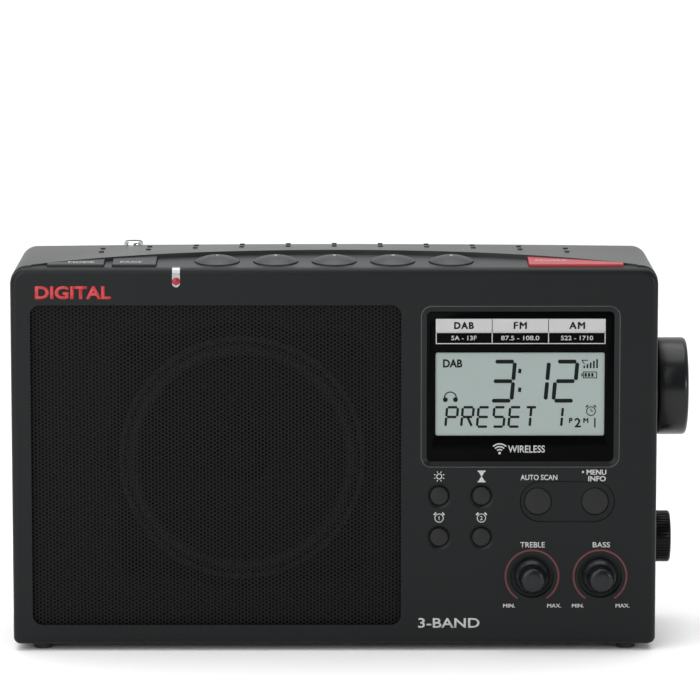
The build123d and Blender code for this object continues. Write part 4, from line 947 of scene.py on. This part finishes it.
def place_screws(screw, name, finish, places, turn, node):
    """Copies a screw to places in mm, turned to its side, and delivers the set."""
    copies = [another(screw, Matrix.Translation(Vector(place) * MM) @ turn) for place in places]
    bpy.data.objects.remove(screw)
    deliver(join(copies, name), name, finish, "case", "steel", node)


CASE_SEATS = [(side * 139.0, -14.0, z) for side in (-1, 1) for z in (10.5, 88.0, 155.0)]
SPEAKER_SEATS = [(-42.0 + i * 49.5, -37.5, 88.5 + j * 49.5) for i in (-1, 1) for j in (-1, 1)]
place_screws(cross_screw(3.0, 2.0, 1.3, 14.0), "case_screw_set", steel, CASE_SEATS,
             Matrix.Rotation(math.radians(-90), 4, "X"), "case_screws")
place_screws(cross_screw(2.8, 1.4, 1.2, 3.9), "speaker_screw_set", basket_paint, SPEAKER_SEATS,
             Matrix.Rotation(math.radians(90), 4, "X"), "speaker_screws")

# %% [markdown]
# ## Lettering of the keys and sides
# The top keys carry their names, the preset keys their numbers, and the sockets on the left side small
# labels. Each mark rides on its own key, so that it moves with it. The numbers are raised, so they are
# thicker.

# %% Marks on keys and sides
KEY_TILT = math.radians(4.8)
KEY_PITCH = 26.6
FLAT_KEY = 1.16  # height of the flat keys and the domes over the plane of the keys, in mm
DOME = 2.9
on_keys = Matrix.Translation((0, -39 * MM, 176 * MM)) @ Matrix.Rotation(KEY_TILT, 4, "X")


def on_key_plane(height):
    """Lays a flat drawing on the plane of the top keys, raised by a height in mm."""
    return on_keys @ Matrix.Translation((0, 0, height * MM))


for body, word, x, y, width in (("mode_key", "MODE", -114.6, 5.4, 11.6),
                                ("page_key", "PAGE", -92.0, 6.0, 9.8),
                                ("power_key", "POWER", 98.6, 9.0, 14.6)):
    name = letters(word, x, y, 3.0, width, bold=0.02)
    printed(f"{body}_mark", [name], white_ink, on_key_plane(FLAT_KEY), body)
for number in range(1, 6):
    figure = letters(str(number), KEY_PITCH * (number - 3), 11.8, 2.6, bold=0.015)
    figure.data.transform(Matrix.Diagonal((1, 1, 3.5, 1)))
    printed(f"preset_{number}_mark", [figure], white_ink, on_key_plane(DOME), f"preset_{number}_key")


def on_left(x):
    """Stands a flat drawing on the left side: its X towards the front, its Y up."""
    return Matrix.Translation((x, 0, 0)) @ Matrix.Rotation(math.radians(-90), 4, "Z") @ on_front(0)


LEFT_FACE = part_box("rear_cabinet")[0].x
socket_labels = [letters("AUX IN", 0, 57.6, 2.0, bold=0.02), letters("DC IN", 0, 27.0, 2.0, bold=0.02)]
socket_labels += [arc(0, 72.6, 1.7, 0.4, 0, 180)]
socket_labels += [stroke(k * 1.7, 71.5, k * 1.7, 72.9, 0.9) for k in (-1, 1)]
printed("socket_lettering", socket_labels, white_ink, on_left(LEFT_FACE - LABEL_LIFT))

# %% [markdown]
# ## Socket rings
# Each socket on the left side ends in a small plated ring. It is a turned collar, bored out by a Boolean.
# The two jacks have a small bore, the power inlet a larger one.

# %% Socket rings
LEFT = Matrix.Rotation(math.radians(-90), 4, "Y")
rings = []
for z, bore, outer in ((66.0, 1.85, 2.9), (51.0, 1.85, 2.9), (34.0, 2.95, 3.9)):
    collar = [(outer, -0.3), (outer, 0.25), (outer - 0.2, 0.45), (bore + 0.25, 0.45), (bore - 0.3, 0.1)]
    ring = turned(collar, 32)
    hole = turned([(bore, -1), (bore, 0.2), (bore + 0.01, 1)], 32)
    modify(ring, "BOOLEAN", object=hole, operation="DIFFERENCE", solver="EXACT")
    bpy.data.objects.remove(hole)
    ring.data.transform(Matrix.Translation((LEFT_FACE, 0, z * MM)) @ LEFT)
    rings.append(ring)
socket_rings = join(rings, "socket_rings")
smooth(socket_rings)
deliver(socket_rings, "socket_rings", chrome, "case", "chrome")

# %% [markdown]
# ## The battery door's grip
# Three low ribs under the thumb notch and an arrow show where to press and which way to pull. They are
# small blocks with bevelled edges, sunk a little into the door.

# %% Battery door grip
DOOR_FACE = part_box("battery_door")[1].y
blocks = []
for z in (61.0, 63.5, 66.0):
    block = start("cube", size=1, location=(0, DOOR_FACE, z * MM), scale=(24 * MM, 1.0 * MM, 1.0 * MM))
    modify(block, "BEVEL", width=0.25 * MM, segments=2)
    blocks.append(block)
arrow = start("cylinder", vertices=3, radius=3.2 * MM, depth=1.0 * MM, rotation=(math.radians(90), 0, 0),
              location=(0, DOOR_FACE, 54.5 * MM))
modify(arrow, "BEVEL", width=0.2 * MM, segments=2)
blocks.append(arrow)
deliver(join(blocks, "door_grip"), "door_grip", case_plastic, "battery_door", "case_plastic")

# %% [markdown]
# ## The finished model
